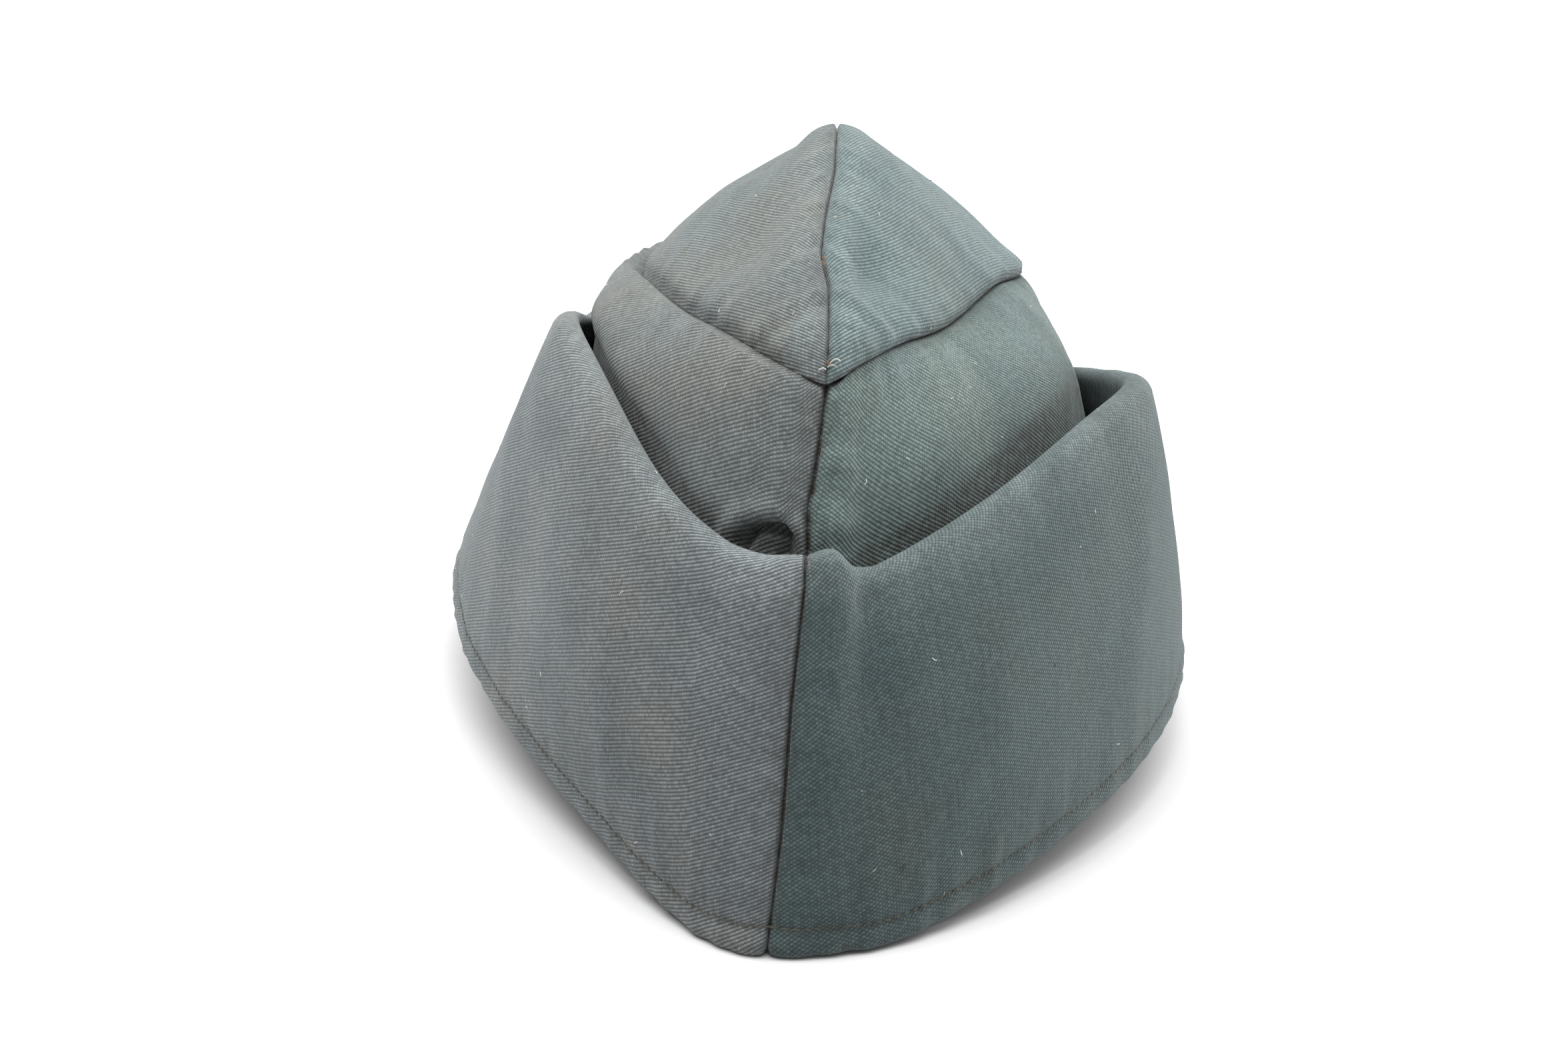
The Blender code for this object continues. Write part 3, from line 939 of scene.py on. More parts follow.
def face_outwards(piece):
    """Turn a closed body's faces outwards, by the sign of its volume."""
    mesh = piece.data
    mesh.calc_loop_triangles()
    points = np.empty(len(mesh.vertices) * 3)
    mesh.vertices.foreach_get("co", points)
    points = points.reshape(-1, 3)
    triangles = np.empty(len(mesh.loop_triangles) * 3, dtype=np.int32)
    mesh.loop_triangles.foreach_get("vertices", triangles)
    a, b, c = (points[triangles.reshape(-1, 3)[:, index]] for index in range(3))
    if np.einsum("ij,ij->i", a, np.cross(b, c)).sum() < 0.0:
        mesh.flip_normals()


def add_node(tree, kind, links=None, **settings):
    """Add a node with its settings and the values or sockets of its inputs."""
    node = tree.nodes.new(kind)
    for key, value in settings.items():
        setattr(node, key, value)
    for key, value in (links or {}).items():
        if isinstance(value, bpy.types.NodeSocket):
            tree.links.new(value, node.inputs[key])
        else:
            node.inputs[key].default_value = value
    return node


def sums(tree, operation, first, second=0.0):
    """Output of one arithmetic node."""
    node = add_node(tree, "ShaderNodeMath", {0: first, 1: second}, operation=operation)
    return node.outputs[0]


def blend(tree, factor, first, second, mode="MIX"):
    """Output of one colour mix."""
    node = add_node(
        tree,
        "ShaderNodeMix",
        {0: factor, 6: first, 7: second},
        data_type="RGBA",
        blend_type=mode,
    )
    return node.outputs[2]


def noise_value(tree, coordinates, size, detail=2.0, roughness=0.5):
    """Random value between about 0.3 and 0.7 whose patches have a real size in metres."""
    node = add_node(
        tree,
        "ShaderNodeTexNoise",
        {"Vector": coordinates, "Scale": 1.0 / size, "Detail": detail, "Roughness": roughness},
    )
    return node.outputs["Fac"]


def stretch(tree, value, low, high, to_low=0.0, to_high=1.0):
    """A value mapped from one range to another and held inside it."""
    node = add_node(
        tree,
        "ShaderNodeMapRange",
        {0: value, 1: low, 2: high, 3: to_low, 4: to_high},
        clamp=True,
    )
    return node.outputs[0]


def swing(tree, value, height):
    """A smooth wave round 0.5, with a period of one and its crests at whole numbers."""
    wave = sums(tree, "COSINE", sums(tree, "MULTIPLY", value, 2.0 * math.pi))
    return sums(tree, "ADD", sums(tree, "MULTIPLY", wave, height), 0.5)


def slanted(tree, along, across, first, second):
    """A share of the distance along and a share of that across, added."""
    return sums(
        tree,
        "ADD",
        sums(tree, "MULTIPLY", along, first),
        sums(tree, "MULTIPLY", across, second),
    )


def start_material(name):
    """A new material with an empty tree, and the object's own coordinates in it."""
    material = bpy.data.materials.new(name)
    material.use_nodes = True
    tree = material.node_tree
    tree.nodes.clear()
    return material, tree, add_node(tree, "ShaderNodeTexCoord").outputs["Object"]


def end_material(tree, inputs):
    """Add the shader with its inputs and let it cover the surface."""
    shader = add_node(tree, "ShaderNodeBsdfPrincipled", inputs)
    add_node(tree, "ShaderNodeOutputMaterial", {"Surface": shader.outputs[0]})


def twill_material(name, colour, lean, cross, cloth):
    """Worn cotton twill: floats painted bright over a darker ground as painted highlight and shade,
    yarns vary, edges fade, seams hold dust and painted shade.
    """
    material, tree, place = start_material(name)
    chart = add_node(tree, "ShaderNodeUVMap", uv_map="cloth").outputs["UV"]
    parts = add_node(tree, "ShaderNodeSeparateXYZ", {0: chart})
    along, across = parts.outputs[0], parts.outputs[1]

    # Slow drift of the yarns keeps the lines from being ruled
    drift = sums(tree, "SUBTRACT", noise_value(tree, place, DRIFT_SIZE), 0.5)
    along = sums(tree, "ADD", along, sums(tree, "MULTIPLY", drift, YARN_DRIFT))
    first = math.radians(lean)
    second = math.radians(lean + CROSS_LEAN)
    pitch = cloth.twill_pitch
    rows = slanted(tree, along, across, -math.sin(first) / pitch, math.cos(first) / pitch)
    files = slanted(tree, along, across, math.sin(second) / pitch, -math.cos(second) / pitch)

    # A float lies slantwise in each cell between two rows and two files, a pit at its ends
    row_wave = swing(tree, rows, -0.5)
    file_wave = swing(tree, files, -0.5)
    float_wave = swing(tree, sums(tree, "ADD", rows, files), 0.5)
    float_height = sums(tree, "MULTIPLY", row_wave, 0.84 - cross)
    float_height = sums(tree, "ADD", float_height, sums(tree, "MULTIPLY", file_wave, cross))
    float_height = sums(tree, "ADD", float_height, sums(tree, "MULTIPLY", float_wave, 0.16))

    # Each float differs a little from the next
    cell = add_node(tree, "ShaderNodeCombineXYZ", {
        0: sums(tree, "FLOOR", rows),
        1: sums(tree, "FLOOR", files),
    }).outputs[0]
    chance = add_node(
        tree, "ShaderNodeTexWhiteNoise", {"Vector": cell}, noise_dimensions="3D"
    ).outputs[0]
    streak = add_node(tree, "ShaderNodeCombineXYZ", {
        0: sums(tree, "MULTIPLY", sums(tree, "ADD", rows, files), 1.6),
        1: sums(tree, "MULTIPLY", rows, 0.06),
    }).outputs[0]
    yarns = add_node(
        tree, "ShaderNodeTexNoise", {"Vector": streak, "Scale": 0.8, "Detail": 2.0}
    ).outputs["Fac"]

    # Broad stains, mottling and warm patches, each from the panel's colour, which holds painted shade
    # as well as the cloth's own tone
    stains = noise_value(tree, place, STAIN_SIZE, 3.0)
    mottle = noise_value(tree, place, MOTTLE_SIZE, 4.0, 0.6)
    warmth = noise_value(tree, place, WARM_PATCH_SIZE)
    grain = noise_value(tree, place, GRAIN_SIZE)
    base = srgb(colour)
    paler = tuple(min(1.0, value * 1.26 + 0.008) for value in base[:3]) + (1.0,)
    darker = tuple(value * 0.75 for value in base[:3]) + (1.0,)
    warm = (base[0] * 1.16, base[1] * 1.01, base[2] * 0.88, 1.0)
    tone = blend(tree, stretch(tree, stains, 0.35, 0.65), darker, base)
    tone = blend(tree, stretch(tree, mottle, 0.40, 0.72, 0.0, 0.45), tone, paler)
    tone = blend(tree, stretch(tree, warmth, 0.45, 0.65, 0.0, 0.5), tone, warm)

    # Rubbed edges are paler from wear; the seam mask paints dust and shade in the seams, and painted
    # shade behind the rim and in the tuck
    edge = add_node(tree, "ShaderNodeAttribute", attribute_name="edge").outputs["Fac"]
    seam = add_node(tree, "ShaderNodeAttribute", attribute_name="seam").outputs["Fac"]
    wear = sums(tree, "MULTIPLY", edge, stretch(tree, mottle, 0.30, 0.62, 0.25, 1.0))
    fade = (*cloth.fade_colour, 1.0)
    tone = blend(tree, sums(tree, "MULTIPLY", wear, cloth.fade), tone, fade)
    # Seam dust and painted shade, from the seam mask
    dust = sums(tree, "MULTIPLY", seam, stretch(tree, grain, 0.38, 0.60, 0.35, 1.0))
    dust = sums(tree, "MINIMUM", sums(tree, "MULTIPLY", dust, 0.80), 0.92)
    tone = blend(tree, dust, tone, (*cloth.dust_and_shade_colour, 1.0))

    # Painted highlight and shade of the weave: floats are painted bright over a darker ground, as light
    # on their relief would show, and each float and yarn also varies in tone at random
    shade = stretch(tree, float_height, 0.12, 0.95, 0.46, 1.38)
    shade = sums(tree, "MULTIPLY", shade, stretch(tree, chance, 0.0, 1.0, 0.80, 1.22))
    shade = sums(tree, "MULTIPLY", shade, stretch(tree, yarns, 0.3, 0.7, 0.90, 1.10))
    value = add_node(tree, "ShaderNodeCombineColor", {0: shade, 1: shade, 2: shade}).outputs[0]
    tone = blend(tree, 1.0, tone, value, "MULTIPLY")

    relief = sums(tree, "ADD", float_height, sums(tree, "MULTIPLY", grain, 0.6))
    relief = sums(tree, "ADD", relief, sums(tree, "MULTIPLY", yarns, 0.5))
    bump = add_node(tree, "ShaderNodeBump", {
        "Strength": 0.9,
        "Distance": cloth.twill_relief,
        "Height": relief,
    }).outputs[0]
    end_material(tree, {
        "Base Color": tone,
        "Roughness": stretch(tree, mottle, 0.3, 0.7, 0.82, 0.95),
        "Specular IOR Level": 0.25,
        "Sheen Weight": 0.24,
        "Sheen Roughness": 0.42,
        "Sheen Tint": (0.80, 0.88, 0.88, 1.0),
        "Normal": bump,
    })
    return material


def thread_material(name, colour):
    """Twisted cotton thread: fine slanting plies over a matt yarn, so stitches read as spun."""
    material, tree, place = start_material(name)
    fuzz = noise_value(tree, place, 0.0004)
    plies = add_node(tree, "ShaderNodeTexWave", {"Vector": place, "Scale": 900.0, "Distortion": 3.0})
    darker = tuple(value * 0.5 for value in colour)
    tone = blend(tree, stretch(tree, fuzz, 0.35, 0.65), (*darker, 1.0), (*colour, 1.0))
    bump = add_node(tree, "ShaderNodeBump", {
        "Strength": 0.6,
        "Distance": 0.00006,
        "Height": plies.outputs["Fac"],
    }).outputs[0]
    end_material(tree, {
        "Base Color": tone,
        "Roughness": 0.78,
        "Sheen Weight": 0.2,
        "Normal": bump,
    })
    return material


def lint_material(name):
    """Cotton lint: soft pale fibres, most white and some straw coloured, that dot the cloth."""
    material, tree, place = start_material(name)
    patch = noise_value(tree, place, 0.006, 1.0)
    tone = blend(tree, stretch(tree, patch, 0.50, 0.56), srgb("#D8DAD6"), srgb("#8F8464"))
    end_material(tree, {"Base Color": tone, "Roughness": 0.7, "Sheen Weight": 0.3})
    return material


def floor_material(colour):
    """Matt pale paper with a faint grain, so that the floor isn't a void."""
    material, tree, place = start_material("pale_sweep")
    grain = stretch(tree, noise_value(tree, place, 0.002), 0.3, 0.7)
    dim = tuple(value * 0.985 for value in colour)
    tone = blend(tree, grain, (*dim, 1.0), (*colour, 1.0))
    end_material(tree, {"Base Color": tone, "Roughness": 0.9})
    return material


def dress_panel(piece, node, cloth):
    """Give a panel its twill and tell the frame what it stands for."""
    colour, lean, cross = PANEL_CLOTH[node]
    piece.data.materials.append(twill_material(node + "_twill", colour, lean, cross, cloth))
    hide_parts(node)
    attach(piece, BODY)


class CapTurnup(bpy.types.Operator):
    """Makes the two halves of the soft turn-up with their hem, rolled rim and end seams"""

    bl_idname = "cap.turnup"
    bl_label = "Turn-up"

    def execute(self, context):
        """Build both halves."""
        cloth = context.scene.cap_cloth
        stitch = context.scene.cap_stitch
        for side, hand in SIDES.items():
            name = "turnup_" + side
            outer, inner = turnup_grids(side)
            turns = panel_turns("turnup")
            normals = grid_normals(outer, hand)
            run = level_run(outer, LEVELS["turnup"] // 2)
            rise = run_lengths(outer, 1)
            near_end = np.minimum(run, run[-1:] - run)
            rim_gap = rise[:, -1:] - rise
            levels = np.linspace(0.0, 1.0, outer.shape[1])

            height = crease_heights(name, turns, levels, run, rise)
            height += seam_profile(near_end, cloth.seam_depth)
            height += seam_gathers(near_end, rise, cloth.pucker, 0.0085)
            line = hump(rise, HEM_GROOVE_WIDTH, stitch.hem_line)
            dimple = 0.75 + 0.25 * np.cos(2.0 * math.pi * run / stitch.pitch)
            height -= HEM_GROOVE_DEPTH * line * dimple
            height += HEM_BULGE_HEIGHT * hump(rise, HEM_BULGE_WIDTH, HEM_BULGE_PLACE)
            height += seam_gathers(np.abs(rise - stitch.hem_line), run, cloth.pucker * 0.8, 0.0074)
            height += cloth.unevenness * soft_waves(outer, 0.030, 1.0)
            height += cloth.unevenness * 0.35 * soft_waves(outer, 0.009, 2.0)
            outer += normals * height[..., None]
            inner += normals * (height * 0.4)[..., None]
            outer[..., 2] = np.maximum(outer[..., 2], 0.0)
            inner[..., 2] = np.maximum(inner[..., 2], 0.0)
            keep_own_half(outer, side)
            keep_own_half(inner, side)
            shut_ends(outer, side)
            shut_ends(inner, side)

            seam = np.maximum(seam_dust(near_end), 0.50 * line)
            edge = np.maximum(hump(np.maximum(rim_gap - 0.001, 0.0), 0.0060), 0.35 * hump(rise, 0.0035))
            piece = panel_mesh(name + "_cloth", outer, inner, run * hand, rise, seam, edge)
            dress_panel(piece, name, cloth)
            hem_line_path(side, outer, rise, stitch.hem_line)
        return {"FINISHED"}


def hem_line_path(side, outer, rise, height):
    """Keep the line that the hem's stitches follow as a plain chain of points."""
    points = []
    for row, heights in zip(outer, rise):
        k = int(np.searchsorted(heights, height))
        share = (height - heights[k - 1]) / (heights[k] - heights[k - 1])
        points.append(row[k - 1] + (row[k] - row[k - 1]) * share)
    points = in_frame(wandered(np.array(points)[6:-6]))
    mesh = bpy.data.meshes.new("hem_path_" + side)
    chain = [(index, index + 1) for index in range(len(points) - 1)]
    mesh.from_pydata(points.tolist(), chain, [])


class CapCrown(bpy.types.Operator):
    """Makes the two side panels and the two roof panels with the seams between them"""

    bl_idname = "cap.crown"
    bl_label = "Crown"

    def execute(self, context):
        """Build both sides with their roofs."""
        cloth = context.scene.cap_cloth
        roofs = {side: roof_grid(side) for side in SIDES}
        for side in SIDES:
            make_crown_half(side, roofs, cloth)
        return {"FINISHED"}


def make_crown_half(side, roofs, cloth):
    """One side panel and its roof panel, mitred along the seam that they share."""
    hand = SIDES[side]
    walls = side_grid(side)
    roof = roofs[side]
    wall_normals = grid_normals(walls, hand)
    roof_normals = grid_normals(roof, hand)
    other_normals = grid_normals(roofs["right" if side == "left" else "left"], -hand)
    roof_edge = np.pad(roof_normals[:, 0], ((TIP_SKIP, TIP_SKIP), (0, 0)), mode="edge")
    seam_joint = mitre(
        walls[:, -1], wall_normals[:, -1], roof_edge, walls[:, -3] - walls[:, -1], CROWN_WALL
    )
    ridge_joint = mitre(
        roof[:, -1], roof_normals[:, -1], other_normals[:, -1], roof[:, -3] - roof[:, -1], CROWN_WALL
    )
    make_side_panel(side, walls, wall_normals, seam_joint, cloth)
    seam_joint = [part[TIP_SKIP:-TIP_SKIP] for part in seam_joint]
    make_roof_panel(side, roof, roof_normals, seam_joint, ridge_joint, cloth)


def make_side_panel(side, walls, normals, seam_joint, cloth):
    """Side panel: hidden straight foot, tuck over the rim, and the fold or lap at the roof seam."""
    name = "side_" + side
    turns = panel_turns("crown")
    levels = side_levels()
    steps, parting = seam_joint
    run = level_run(walls, LEVELS["side"] * 3 // 4)
    rise = run_lengths(walls, 1)
    near_end = np.minimum(run, run[-1:] - run)
    near_top = rise[:, -1:] - rise
    above_floor = walls[..., 2]

    height = crease_heights(name, turns, levels, run, rise)
    height += seam_gathers(near_end, rise, cloth.pucker, 0.0080)
    height += seam_gathers(near_top, run, cloth.pucker, 0.0090)
    height += cloth.unevenness * soft_waves(walls, 0.026, 3.0)
    height += cloth.unevenness * 0.35 * soft_waves(walls, 0.008, 4.0)
    tuck = np.zeros(height.shape)
    if side == "left":
        tuck = pocket_height(near_end, above_floor, turns)
    height += tuck
    height *= np.clip((levels - WAIST_LEVEL * 0.75) / (WAIST_LEVEL * 0.25), 0.0, 1.0)[None]
    height += seam_profile(near_end, cloth.seam_depth)
    swell = np.sin(math.pi * np.clip((turns - 0.05) / 0.90, 0.0, 1.0))[:, None] ** 0.5
    if side == "left":
        crest = np.where(
            near_top > LEFT_FOLD_PLACE,
            hump(near_top, 0.0100, LEFT_FOLD_PLACE),
            hump(near_top, 0.0010, LEFT_FOLD_PLACE),
        )
        height += LEFT_FOLD_PROUD * swell * crest
        height -= 0.0006 * hump(near_top, 0.0007)
    else:
        height += seam_profile(near_top, cloth.seam_depth * 0.7, 0.0001)

    # The inner face follows where the tuck goes deeper than the wall
    inner = walls - normals * CROWN_WALL
    inner[:, -1] = walls[:, -1] + steps
    inner += normals * np.minimum(height + 0.0010, 0.0)[..., None]
    near = hump(near_top, MITRE_REACH)[..., None]
    push = unit_rows(normals * (1.0 - near) - unit_rows(steps)[:, None] * near)
    outer = walls + push * height[..., None]
    for grid in (outer, inner):
        grid[:, -1] += parting * SEAM_SLIT
        keep_own_half(grid, side)
        shut_ends(grid, side)

    # Dark in the seams from dust and painted shade, painted shade behind the rim and in the tuck, pale
    # along the left fold from wear
    # Painted shade: the side panel is darkened below the top of the rim, where the turn-up shades it
    rim_top = np.array([rim_point(side, turn)[0][2] for turn in turns])[:, None] + RIM_ROLL_RADIUS
    below = 1.0 / (1.0 + np.exp((above_floor - rim_top + RIM_SHADE_DROP) / RIM_SHADE_DROP))
    seam = np.maximum(np.maximum(seam_dust(near_end), seam_dust(near_top)), 0.85 * below)
    # Painted shade in the tuck, darker where the tuck goes deeper
    seam = np.maximum(seam, np.clip(-tuck / TUCK_DARK_DEPTH, 0.0, 0.7))
    edge = np.zeros(seam.shape)
    if side == "left":
        edge = 0.8 * hump(near_top, 0.0022, LEFT_FOLD_PLACE) * swell
    piece = panel_mesh(name + "_cloth", outer, inner, run * SIDES[side], rise, seam, edge)
    dress_panel(piece, name, cloth)


def make_roof_panel(side, roof, normals, seam_joint, ridge_joint, cloth):
    """Roof panel: from the roof seam up to the ridge, lapped over the side panel on the right."""
    name = "roof_" + side
    turns = panel_turns("crown")[TIP_SKIP:-TIP_SKIP]
    steps, parting = seam_joint
    ridge_steps, ridge_parting = ridge_joint
    run = level_run(roof, LEVELS["roof"] // 2)
    near_seam = run_lengths(roof, 1)
    width = near_seam[:, -1:]
    near_ridge = width - near_seam

    height = crease_heights(name, turns, roof_levels(), run, near_seam)
    height += seam_gathers(near_ridge, run, cloth.pucker, 0.0082)
    height += seam_gathers(near_seam, run, cloth.pucker, 0.0090)
    height += cloth.unevenness * soft_waves(roof, 0.024, 5.0)
    height += cloth.unevenness * 0.35 * soft_waves(roof, 0.008, 6.0)
    height += seam_profile(near_ridge, cloth.seam_depth)
    if side == "right":
        lap = np.where(
            near_seam > RIGHT_LAP_PLACE,
            hump(near_seam, 0.0040, RIGHT_LAP_PLACE),
            hump(near_seam, 0.0011, RIGHT_LAP_PLACE),
        )
        height += RIGHT_LAP_PROUD * 1.3 * lap
        height -= 0.0003 * hump(near_seam, 0.0006)
    else:
        height -= 0.0008 * hump(near_seam, 0.0016)
    height *= np.clip(width / 0.012, 0.0, 1.0)

    # The wall is thinner where the panel runs out to a point at the noses
    inward = -normals * CROWN_WALL
    inward[:, 0] = steps
    inward[:, -1] = ridge_steps
    thin = np.minimum(1.0, width / (4.0 * CROWN_WALL))
    inner = roof + inward * thin[..., None]
    by_seam = hump(near_seam, MITRE_REACH)[..., None]
    by_ridge = hump(near_ridge, MITRE_REACH)[..., None]
    push = normals * np.maximum(1.0 - by_seam - by_ridge, 0.0)
    push = push - unit_rows(steps)[:, None] * by_seam - unit_rows(ridge_steps)[:, None] * by_ridge
    outer = roof + unit_rows(push) * height[..., None]
    for grid in (outer, inner):
        grid[:, 0] -= parting * SEAM_SLIT
        grid[:, -1] += ridge_parting * SEAM_SLIT
    seam = np.maximum(seam_dust(near_ridge), seam_dust(near_seam))
    edge = 0.7 * hump(near_ridge, 0.0030, 0.0034)
    piece = panel_mesh(name + "_cloth", outer, inner, run * SIDES[side], near_seam, seam, edge)
    dress_panel(piece, name, cloth)


def start_tree(name, inputs, output):
    """A new geometry tree with named inputs and one output, and the sockets that give the inputs."""
    tree = bpy.data.node_groups.new(name, "GeometryNodeTree")
    for label, kind in inputs.items():
        tree.interface.new_socket(label, in_out="INPUT", socket_type="NodeSocket" + kind)
    tree.interface.new_socket(output, in_out="OUTPUT", socket_type="NodeSocketGeometry")
    return tree, add_node(tree, "NodeGroupInput").outputs


def end_tree(tree, instances, material):
    """Make the instances real, give them their material and pass them out."""
    real = add_node(tree, "GeometryNodeRealizeInstances", {"Geometry": instances})
    coated = add_node(tree, "GeometryNodeSetMaterial", {
        "Geometry": real.outputs[0],
        "Material": material,
    })
    add_node(tree, "NodeGroupOutput", {0: coated.outputs[0]})


def stitch_tree(name):
    """Node tree that lays evenly spaced stitches along a chain of points."""
    tree, given = start_tree(name, {
        "Path": "Geometry",
        "Pitch": "Float",
        "Length": "Float",
        "Thickness": "Float",
        "Seed": "Int",
        "Thread": "Material",
    }, "Stitches")
    curve = add_node(tree, "GeometryNodeMeshToCurve", {"Mesh": given["Path"]})
    spaced = add_node(tree, "GeometryNodeResampleCurve", {
        "Curve": curve.outputs[0],
        "Length": given["Pitch"],
    }, mode="LENGTH")
    tangent = add_node(tree, "GeometryNodeInputTangent")
    turned = add_node(tree, "FunctionNodeAlignRotationToVector", {
        "Vector": tangent.outputs[0],
    }, axis="Z")
    bead = add_node(tree, "GeometryNodeMeshUVSphere", {"Segments": 8, "Rings": 7, "Radius": 0.5})
    smooth = add_node(tree, "GeometryNodeSetShadeSmooth", {"Geometry": bead.outputs["Mesh"]})
    jitter = add_node(tree, "FunctionNodeRandomValue", {
        2: 0.82,
        3: 1.12,
        "Seed": given["Seed"],
    }, data_type="FLOAT")
    size = add_node(tree, "ShaderNodeCombineXYZ", {
        0: given["Thickness"],
        1: given["Thickness"],
        2: sums(tree, "MULTIPLY", given["Length"], jitter.outputs[1]),
    })
    placed = add_node(tree, "GeometryNodeInstanceOnPoints", {
        "Points": spaced.outputs[0],
        "Instance": smooth.outputs[0],
        "Rotation": turned.outputs[0],
        "Scale": size.outputs[0],
    })
    end_tree(tree, placed.outputs[0], given["Thread"])
    return tree


def lint_tree(name):
    """Node tree that scatters short bent fibres over a surface."""
    tree, given = start_tree(name, {
        "Surface": "Geometry",
        "Density": "Float",
        "Length": "Float",
        "Thickness": "Float",
        "Seed": "Int",
        "Lint": "Material",
    }, "Fibres")
    spots = add_node(tree, "GeometryNodeDistributePointsOnFaces", {
        "Mesh": given["Surface"],
        "Density": given["Density"],
        "Seed": given["Seed"],
    })
    bow = add_node(tree, "GeometryNodeCurveQuadraticBezier", {
        "Resolution": 5,
        "Start": (-0.5, 0.0, 0.0),
        "Middle": (0.0, 0.35, 0.10),
        "End": (0.5, 0.05, 0.0),
    })
    ring = add_node(tree, "GeometryNodeCurvePrimitiveCircle", {"Resolution": 5, "Radius": 0.5})
    thin = sums(tree, "DIVIDE", given["Thickness"], given["Length"])
    scale = add_node(tree, "ShaderNodeCombineXYZ", {0: thin, 1: thin, 2: 1.0})
    shape = add_node(tree, "GeometryNodeTransform", {
        "Geometry": ring.outputs[0],
        "Scale": scale.outputs[0],
    })
    fibre = add_node(tree, "GeometryNodeCurveToMesh", {
        "Curve": bow.outputs[0],
        "Profile Curve": shape.outputs[0],
        "Fill Caps": True,
    })
    spin = add_node(tree, "FunctionNodeRandomValue", {
        0: (0.0, 0.0, 0.0),
        1: (0.3, 0.3, 6.28),
        "Seed": given["Seed"],
    }, data_type="FLOAT_VECTOR")
    turned = add_node(tree, "FunctionNodeRotateRotation", {
        "Rotation": spots.outputs["Rotation"],
        "Rotate By": spin.outputs[0],
    }, rotation_space="LOCAL")
    varied = add_node(tree, "FunctionNodeRandomValue", {
        2: 0.35,
        3: 1.5,
        "Seed": given["Seed"],
    }, data_type="FLOAT")
    placed = add_node(tree, "GeometryNodeInstanceOnPoints", {
        "Points": spots.outputs["Points"],
        "Instance": fibre.outputs[0],
        "Rotation": turned.outputs[0],
        "Scale": sums(tree, "MULTIPLY", given["Length"], varied.outputs[1]),
    })
    end_tree(tree, placed.outputs[0], given["Lint"])
    return tree


def grown(name, ground, tree, values):
    """Run a node tree on a mesh and keep the result as a plain piece."""
    source = bpy.data.objects.new(name + "_source", ground)
    bpy.context.scene.collection.objects.link(source)
    modifier = source.modifiers.new(name, "NODES")
    modifier.node_group = tree
    for item in tree.interface.items_tree:
        if item.item_type == "SOCKET" and item.in_out == "INPUT" and item.name in values:
            modifier[item.identifier] = values[item.name]
    graph = bpy.context.evaluated_depsgraph_get()
    mesh = bpy.data.meshes.new_from_object(source.evaluated_get(graph), depsgraph=graph)
    source.modifiers.remove(modifier)
    bpy.data.objects.remove(source, do_unlink=True)
    if not mesh.vertices:
        raise RuntimeError(name + " grew nothing")
    mesh.name = name
    piece = bpy.data.objects.new(name, mesh)
    bpy.context.scene.collection.objects.link(piece)
    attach(piece, BODY)
    return piece


class CapHemStitches(bpy.types.Operator):
    """Sews the line of stitches round the hem"""

    bl_idname = "cap.hem_stitches"
    bl_label = "Hem stitches"

    def execute(self, context):
        """Lay the stitches on both halves."""
        stitch = context.scene.cap_stitch
        thread = thread_material("olive_sewing_thread", stitch.colour)
        tree = stitch_tree("stitch line")
        for side in SIDES:
            grown("hem_stitches_" + side, bpy.data.meshes["hem_path_" + side], tree, {
                "Pitch": stitch.pitch,
                "Length": stitch.length,
                "Thickness": stitch.thickness,
                "Seed": 3,
                "Thread": thread,
            })
        return {"FINISHED"}


class CapLint(bpy.types.Operator):
    """Scatters pale lint and dark flecks over the nap of the cloth"""

    bl_idname = "cap.lint"
    bl_label = "Lint"

    def execute(self, context):
        """Gather the visible cloth and scatter fibres on it."""
        lint = context.scene.cap_lint
        points = []
        faces = []
        for name in PANEL_CLOTH:
            piece = bpy.data.objects[name + "_cloth"]
            start = len(points)
            points += [vert.co + vert.normal * LINT_LIFT for vert in piece.data.vertices]
            faces += [tuple(start + k for k in face.vertices) for face in piece.data.polygons
                      if shows_outside(face)]
        bed = bpy.data.meshes.new("lint_bed")
        bed.from_pydata(points, [], faces)
        grown("lint_fibres", bed, lint_tree("lint scatter"), {
            "Density": lint.density,
            "Length": lint.fibre_length,
            "Thickness": lint.fibre_thickness,
            "Seed": lint.seed,
            "Lint": lint_material("cotton_lint"),
        })
        grown("dark_flecks", bed, lint_tree("fleck scatter"), {
            "Density": lint.density * lint.fleck_share,
            "Length": lint.fibre_length * 0.8,
            "Thickness": lint.fibre_thickness * 3.0,
            "Seed": lint.seed + 4,
            "Lint": thread_material("dark_wool_fleck", (0.012, 0.014, 0.014)),
        })
        return {"FINISHED"}


def shows_outside(face):
    """True for a face that looks away from the cap's long middle line."""
    away = Vector((face.center.x, face.center.y * 0.25, face.center.z - 0.035))
    return face.normal.dot(away) > 0.004


class CapLooseThreads(bpy.types.Operator):
    """Leaves the small tufts of thread that stick out of the ridge seam"""

    bl_idname = "cap.loose_threads"
    bl_label = "Loose threads"

    def execute(self, context):
        """Bend each thread of the table out of the seam."""
        colours = {"pale": "#C9CCC6", "orange": "#A8632E"}
        for tone, code in colours.items():
            points = []
            faces = []
            for depth, aside, length, heading, kind in LOOSE_THREADS:
                if kind == tone:
                    bent_thread(points, faces, depth, aside, length, heading)
            mesh = bpy.data.meshes.new("loose_threads_" + tone)
            mesh.from_pydata(points, [], faces)
            mesh.shade_smooth()
            piece = bpy.data.objects.new(mesh.name, mesh)
            context.scene.collection.objects.link(piece)
            mesh.materials.append(thread_material(tone + "_cotton_thread", srgb(code)[:3]))
            face_outwards(piece)
            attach(piece, BODY)
        return {"FINISHED"}


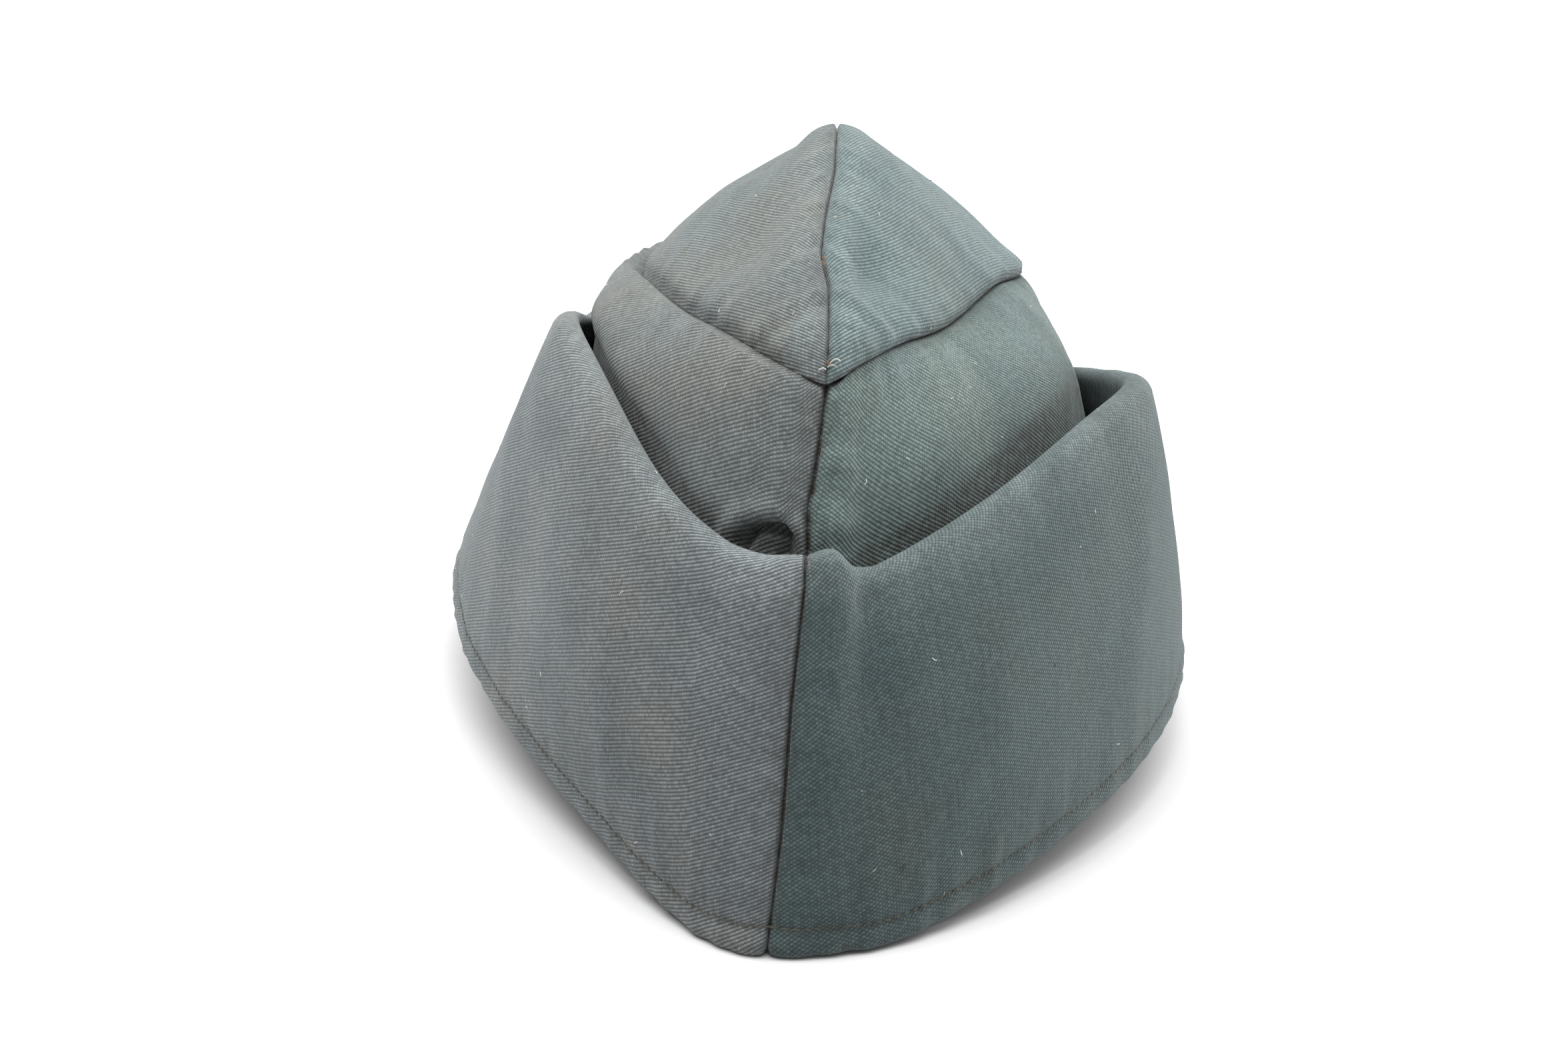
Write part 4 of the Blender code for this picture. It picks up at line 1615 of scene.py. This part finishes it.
def bent_thread(points, faces, depth, aside, length, heading):
    """Add one closed tube, bent over the seam, to the lists of points and faces."""
    start = seam_spot(depth * 0.001) + np.array((aside * 0.001, 0.0, 0.0))
    angle = math.radians(heading)
    ahead = np.array((math.cos(angle), -0.35, math.sin(angle) * 0.6))
    reach = length * 0.001
    lift = np.array((0.0, -0.4, 0.9)) * reach * 0.35
    chain = [
        start + ahead * reach * step + lift * 4.0 * step * (1.0 - step)
        for step in np.linspace(0.0, 1.0, THREAD_STEPS + 1)
    ]
    first = len(points)
    for index, middle in enumerate(chain):
        along = unit(chain[min(index + 1, THREAD_STEPS)] - chain[max(index - 1, 0)])
        across = unit(np.cross(along, (0.2, 0.9, 0.3)))
        other = np.cross(along, across)
        for corner in range(THREAD_CORNERS):
            turn = 2.0 * math.pi * corner / THREAD_CORNERS
            spread = across * math.cos(turn) + other * math.sin(turn)
            points.append(tuple(middle + spread * THREAD_RADIUS))
    for index in range(THREAD_STEPS):
        for corner in range(THREAD_CORNERS):
            a = first + index * THREAD_CORNERS + corner
            b = first + index * THREAD_CORNERS + (corner + 1) % THREAD_CORNERS
            faces.append((a, b, b + THREAD_CORNERS, a + THREAD_CORNERS))
    last = first + THREAD_STEPS * THREAD_CORNERS
    faces.append(tuple(first + corner for corner in reversed(range(THREAD_CORNERS))))
    faces.append(tuple(last + corner for corner in range(THREAD_CORNERS)))


def seam_spot(depth):
    """The point of the ridge seam at a distance from the cap's middle."""
    turns = np.linspace(0.02, 0.5, 241)
    line = wandered(np.array([ridge_point(turn) for turn in turns]))
    spot = line[int(np.argmin(np.abs(line[:, 1] + depth)))]
    return in_frame(spot) - np.array((0.0, 0.0, 0.0001))


class CapStage(bpy.types.Operator):
    """Lays the floor and sets the lights and the camera"""

    bl_idname = "cap.stage"
    bl_label = "Stage"

    def execute(self, context):
        """Build the stage."""
        scene = context.scene
        stage = scene.cap_stage
        mesh = bpy.data.meshes.new("floor")
        corners = ((-1.0, -1.0), (1.0, -1.0), (1.0, 1.0), (-1.0, 1.0))
        points = [(FLOOR_REACH * x, FLOOR_REACH * y, -FLOOR_DROP) for x, y in corners]
        mesh.from_pydata(points, [], [(0, 1, 2, 3)])
        floor = bpy.data.objects.new("floor", mesh)
        mesh.materials.append(floor_material(stage.floor_colour))
        scene.collection.objects.link(floor)

        overhead = add_light("SUN", "overhead", stage.overhead_power, OVERHEAD_PLACE, OVERHEAD_TARGET)
        overhead.angle = OVERHEAD_ANGLE
        window = add_light("AREA", "right_window", stage.side_power, WINDOW_PLACE, WINDOW_TARGET)
        window.size = WINDOW_SIZE

        world = bpy.data.worlds.new("room")
        scene.world = world
        world.use_nodes = True
        room = world.node_tree.nodes["Background"]
        room.inputs["Color"].default_value = (1.0, 1.0, 1.0, 1.0)
        room.inputs["Strength"].default_value = stage.room_strength
        scene.view_settings.view_transform = "Standard"
        scene.view_settings.look = "None"

        camera = bpy.data.cameras.new("camera")
        camera.lens = CAMERA_LENS
        camera.sensor_width = CAMERA_SENSOR
        camera.clip_start = 0.01
        holder = bpy.data.objects.new("camera", camera)
        scene.collection.objects.link(holder)
        forward = Vector(CAMERA_FORWARD).normalized()
        upward = Vector(CAMERA_UP)
        right = forward.cross(upward).normalized()
        upward = right.cross(forward)
        turn = Matrix((right, upward, -forward)).transposed().to_4x4()
        turn.translation = Vector(CAMERA_PLACE) - Vector((base_shift(), 0.0, 0.0))
        holder.matrix_world = turn
        scene.camera = holder
        return {"FINISHED"}


def add_light(kind, name, power, place, target):
    """A soft light that stands at a place and faces a target."""
    light = bpy.data.lights.new(name, kind)
    light.energy = power
    holder = bpy.data.objects.new(name, light)
    bpy.context.scene.collection.objects.link(holder)
    aim = Vector(target) - Vector(place)
    turn = aim.to_track_quat("-Z", "Y").to_matrix().to_4x4()
    turn.translation = Vector(place)
    holder.matrix_world = turn
    return light


class CapPanel(bpy.types.Panel):
    """Sizes, colours and steps of the cap"""

    bl_idname = "VIEW3D_PT_cap"
    bl_label = "Twill side cap"
    bl_space_type = "VIEW_3D"
    bl_region_type = "UI"
    bl_category = "Cap"

    def draw(self, context):
        """List the settings and the steps."""
        scene = context.scene
        for settings in (scene.cap_cloth, scene.cap_stitch, scene.cap_lint, scene.cap_stage):
            box = self.layout.box()
            for key in settings.__annotations__:
                box.prop(settings, key)
        for step in STEPS:
            self.layout.operator(step.bl_idname)


SETTINGS = {
    "cap_cloth": CapClothSettings,
    "cap_stitch": CapStitchSettings,
    "cap_lint": CapLintSettings,
    "cap_stage": CapStageSettings,
}
STEPS = (CapTurnup, CapCrown, CapHemStitches, CapLint, CapLooseThreads, CapStage)


def register():
    """Register the settings, the steps and the panel."""
    for key, kind in SETTINGS.items():
        bpy.utils.register_class(kind)
        setattr(bpy.types.Scene, key, PointerProperty(type=kind))
    for kind in STEPS:
        bpy.utils.register_class(kind)
    bpy.utils.register_class(CapPanel)


def unregister():
    """Undo register."""
    bpy.utils.unregister_class(CapPanel)
    for kind in reversed(STEPS):
        bpy.utils.unregister_class(kind)
    for key, kind in SETTINGS.items():
        delattr(bpy.types.Scene, key)
        bpy.utils.unregister_class(kind)


def main():
    """Make every piece in order."""
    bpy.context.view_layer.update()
    register()
    bpy.ops.cap.turnup()
    bpy.ops.cap.crown()
    bpy.ops.cap.hem_stitches()
    bpy.ops.cap.lint()
    bpy.ops.cap.loose_threads()
    bpy.ops.cap.stage()


if __name__ == "__main__":
    main()
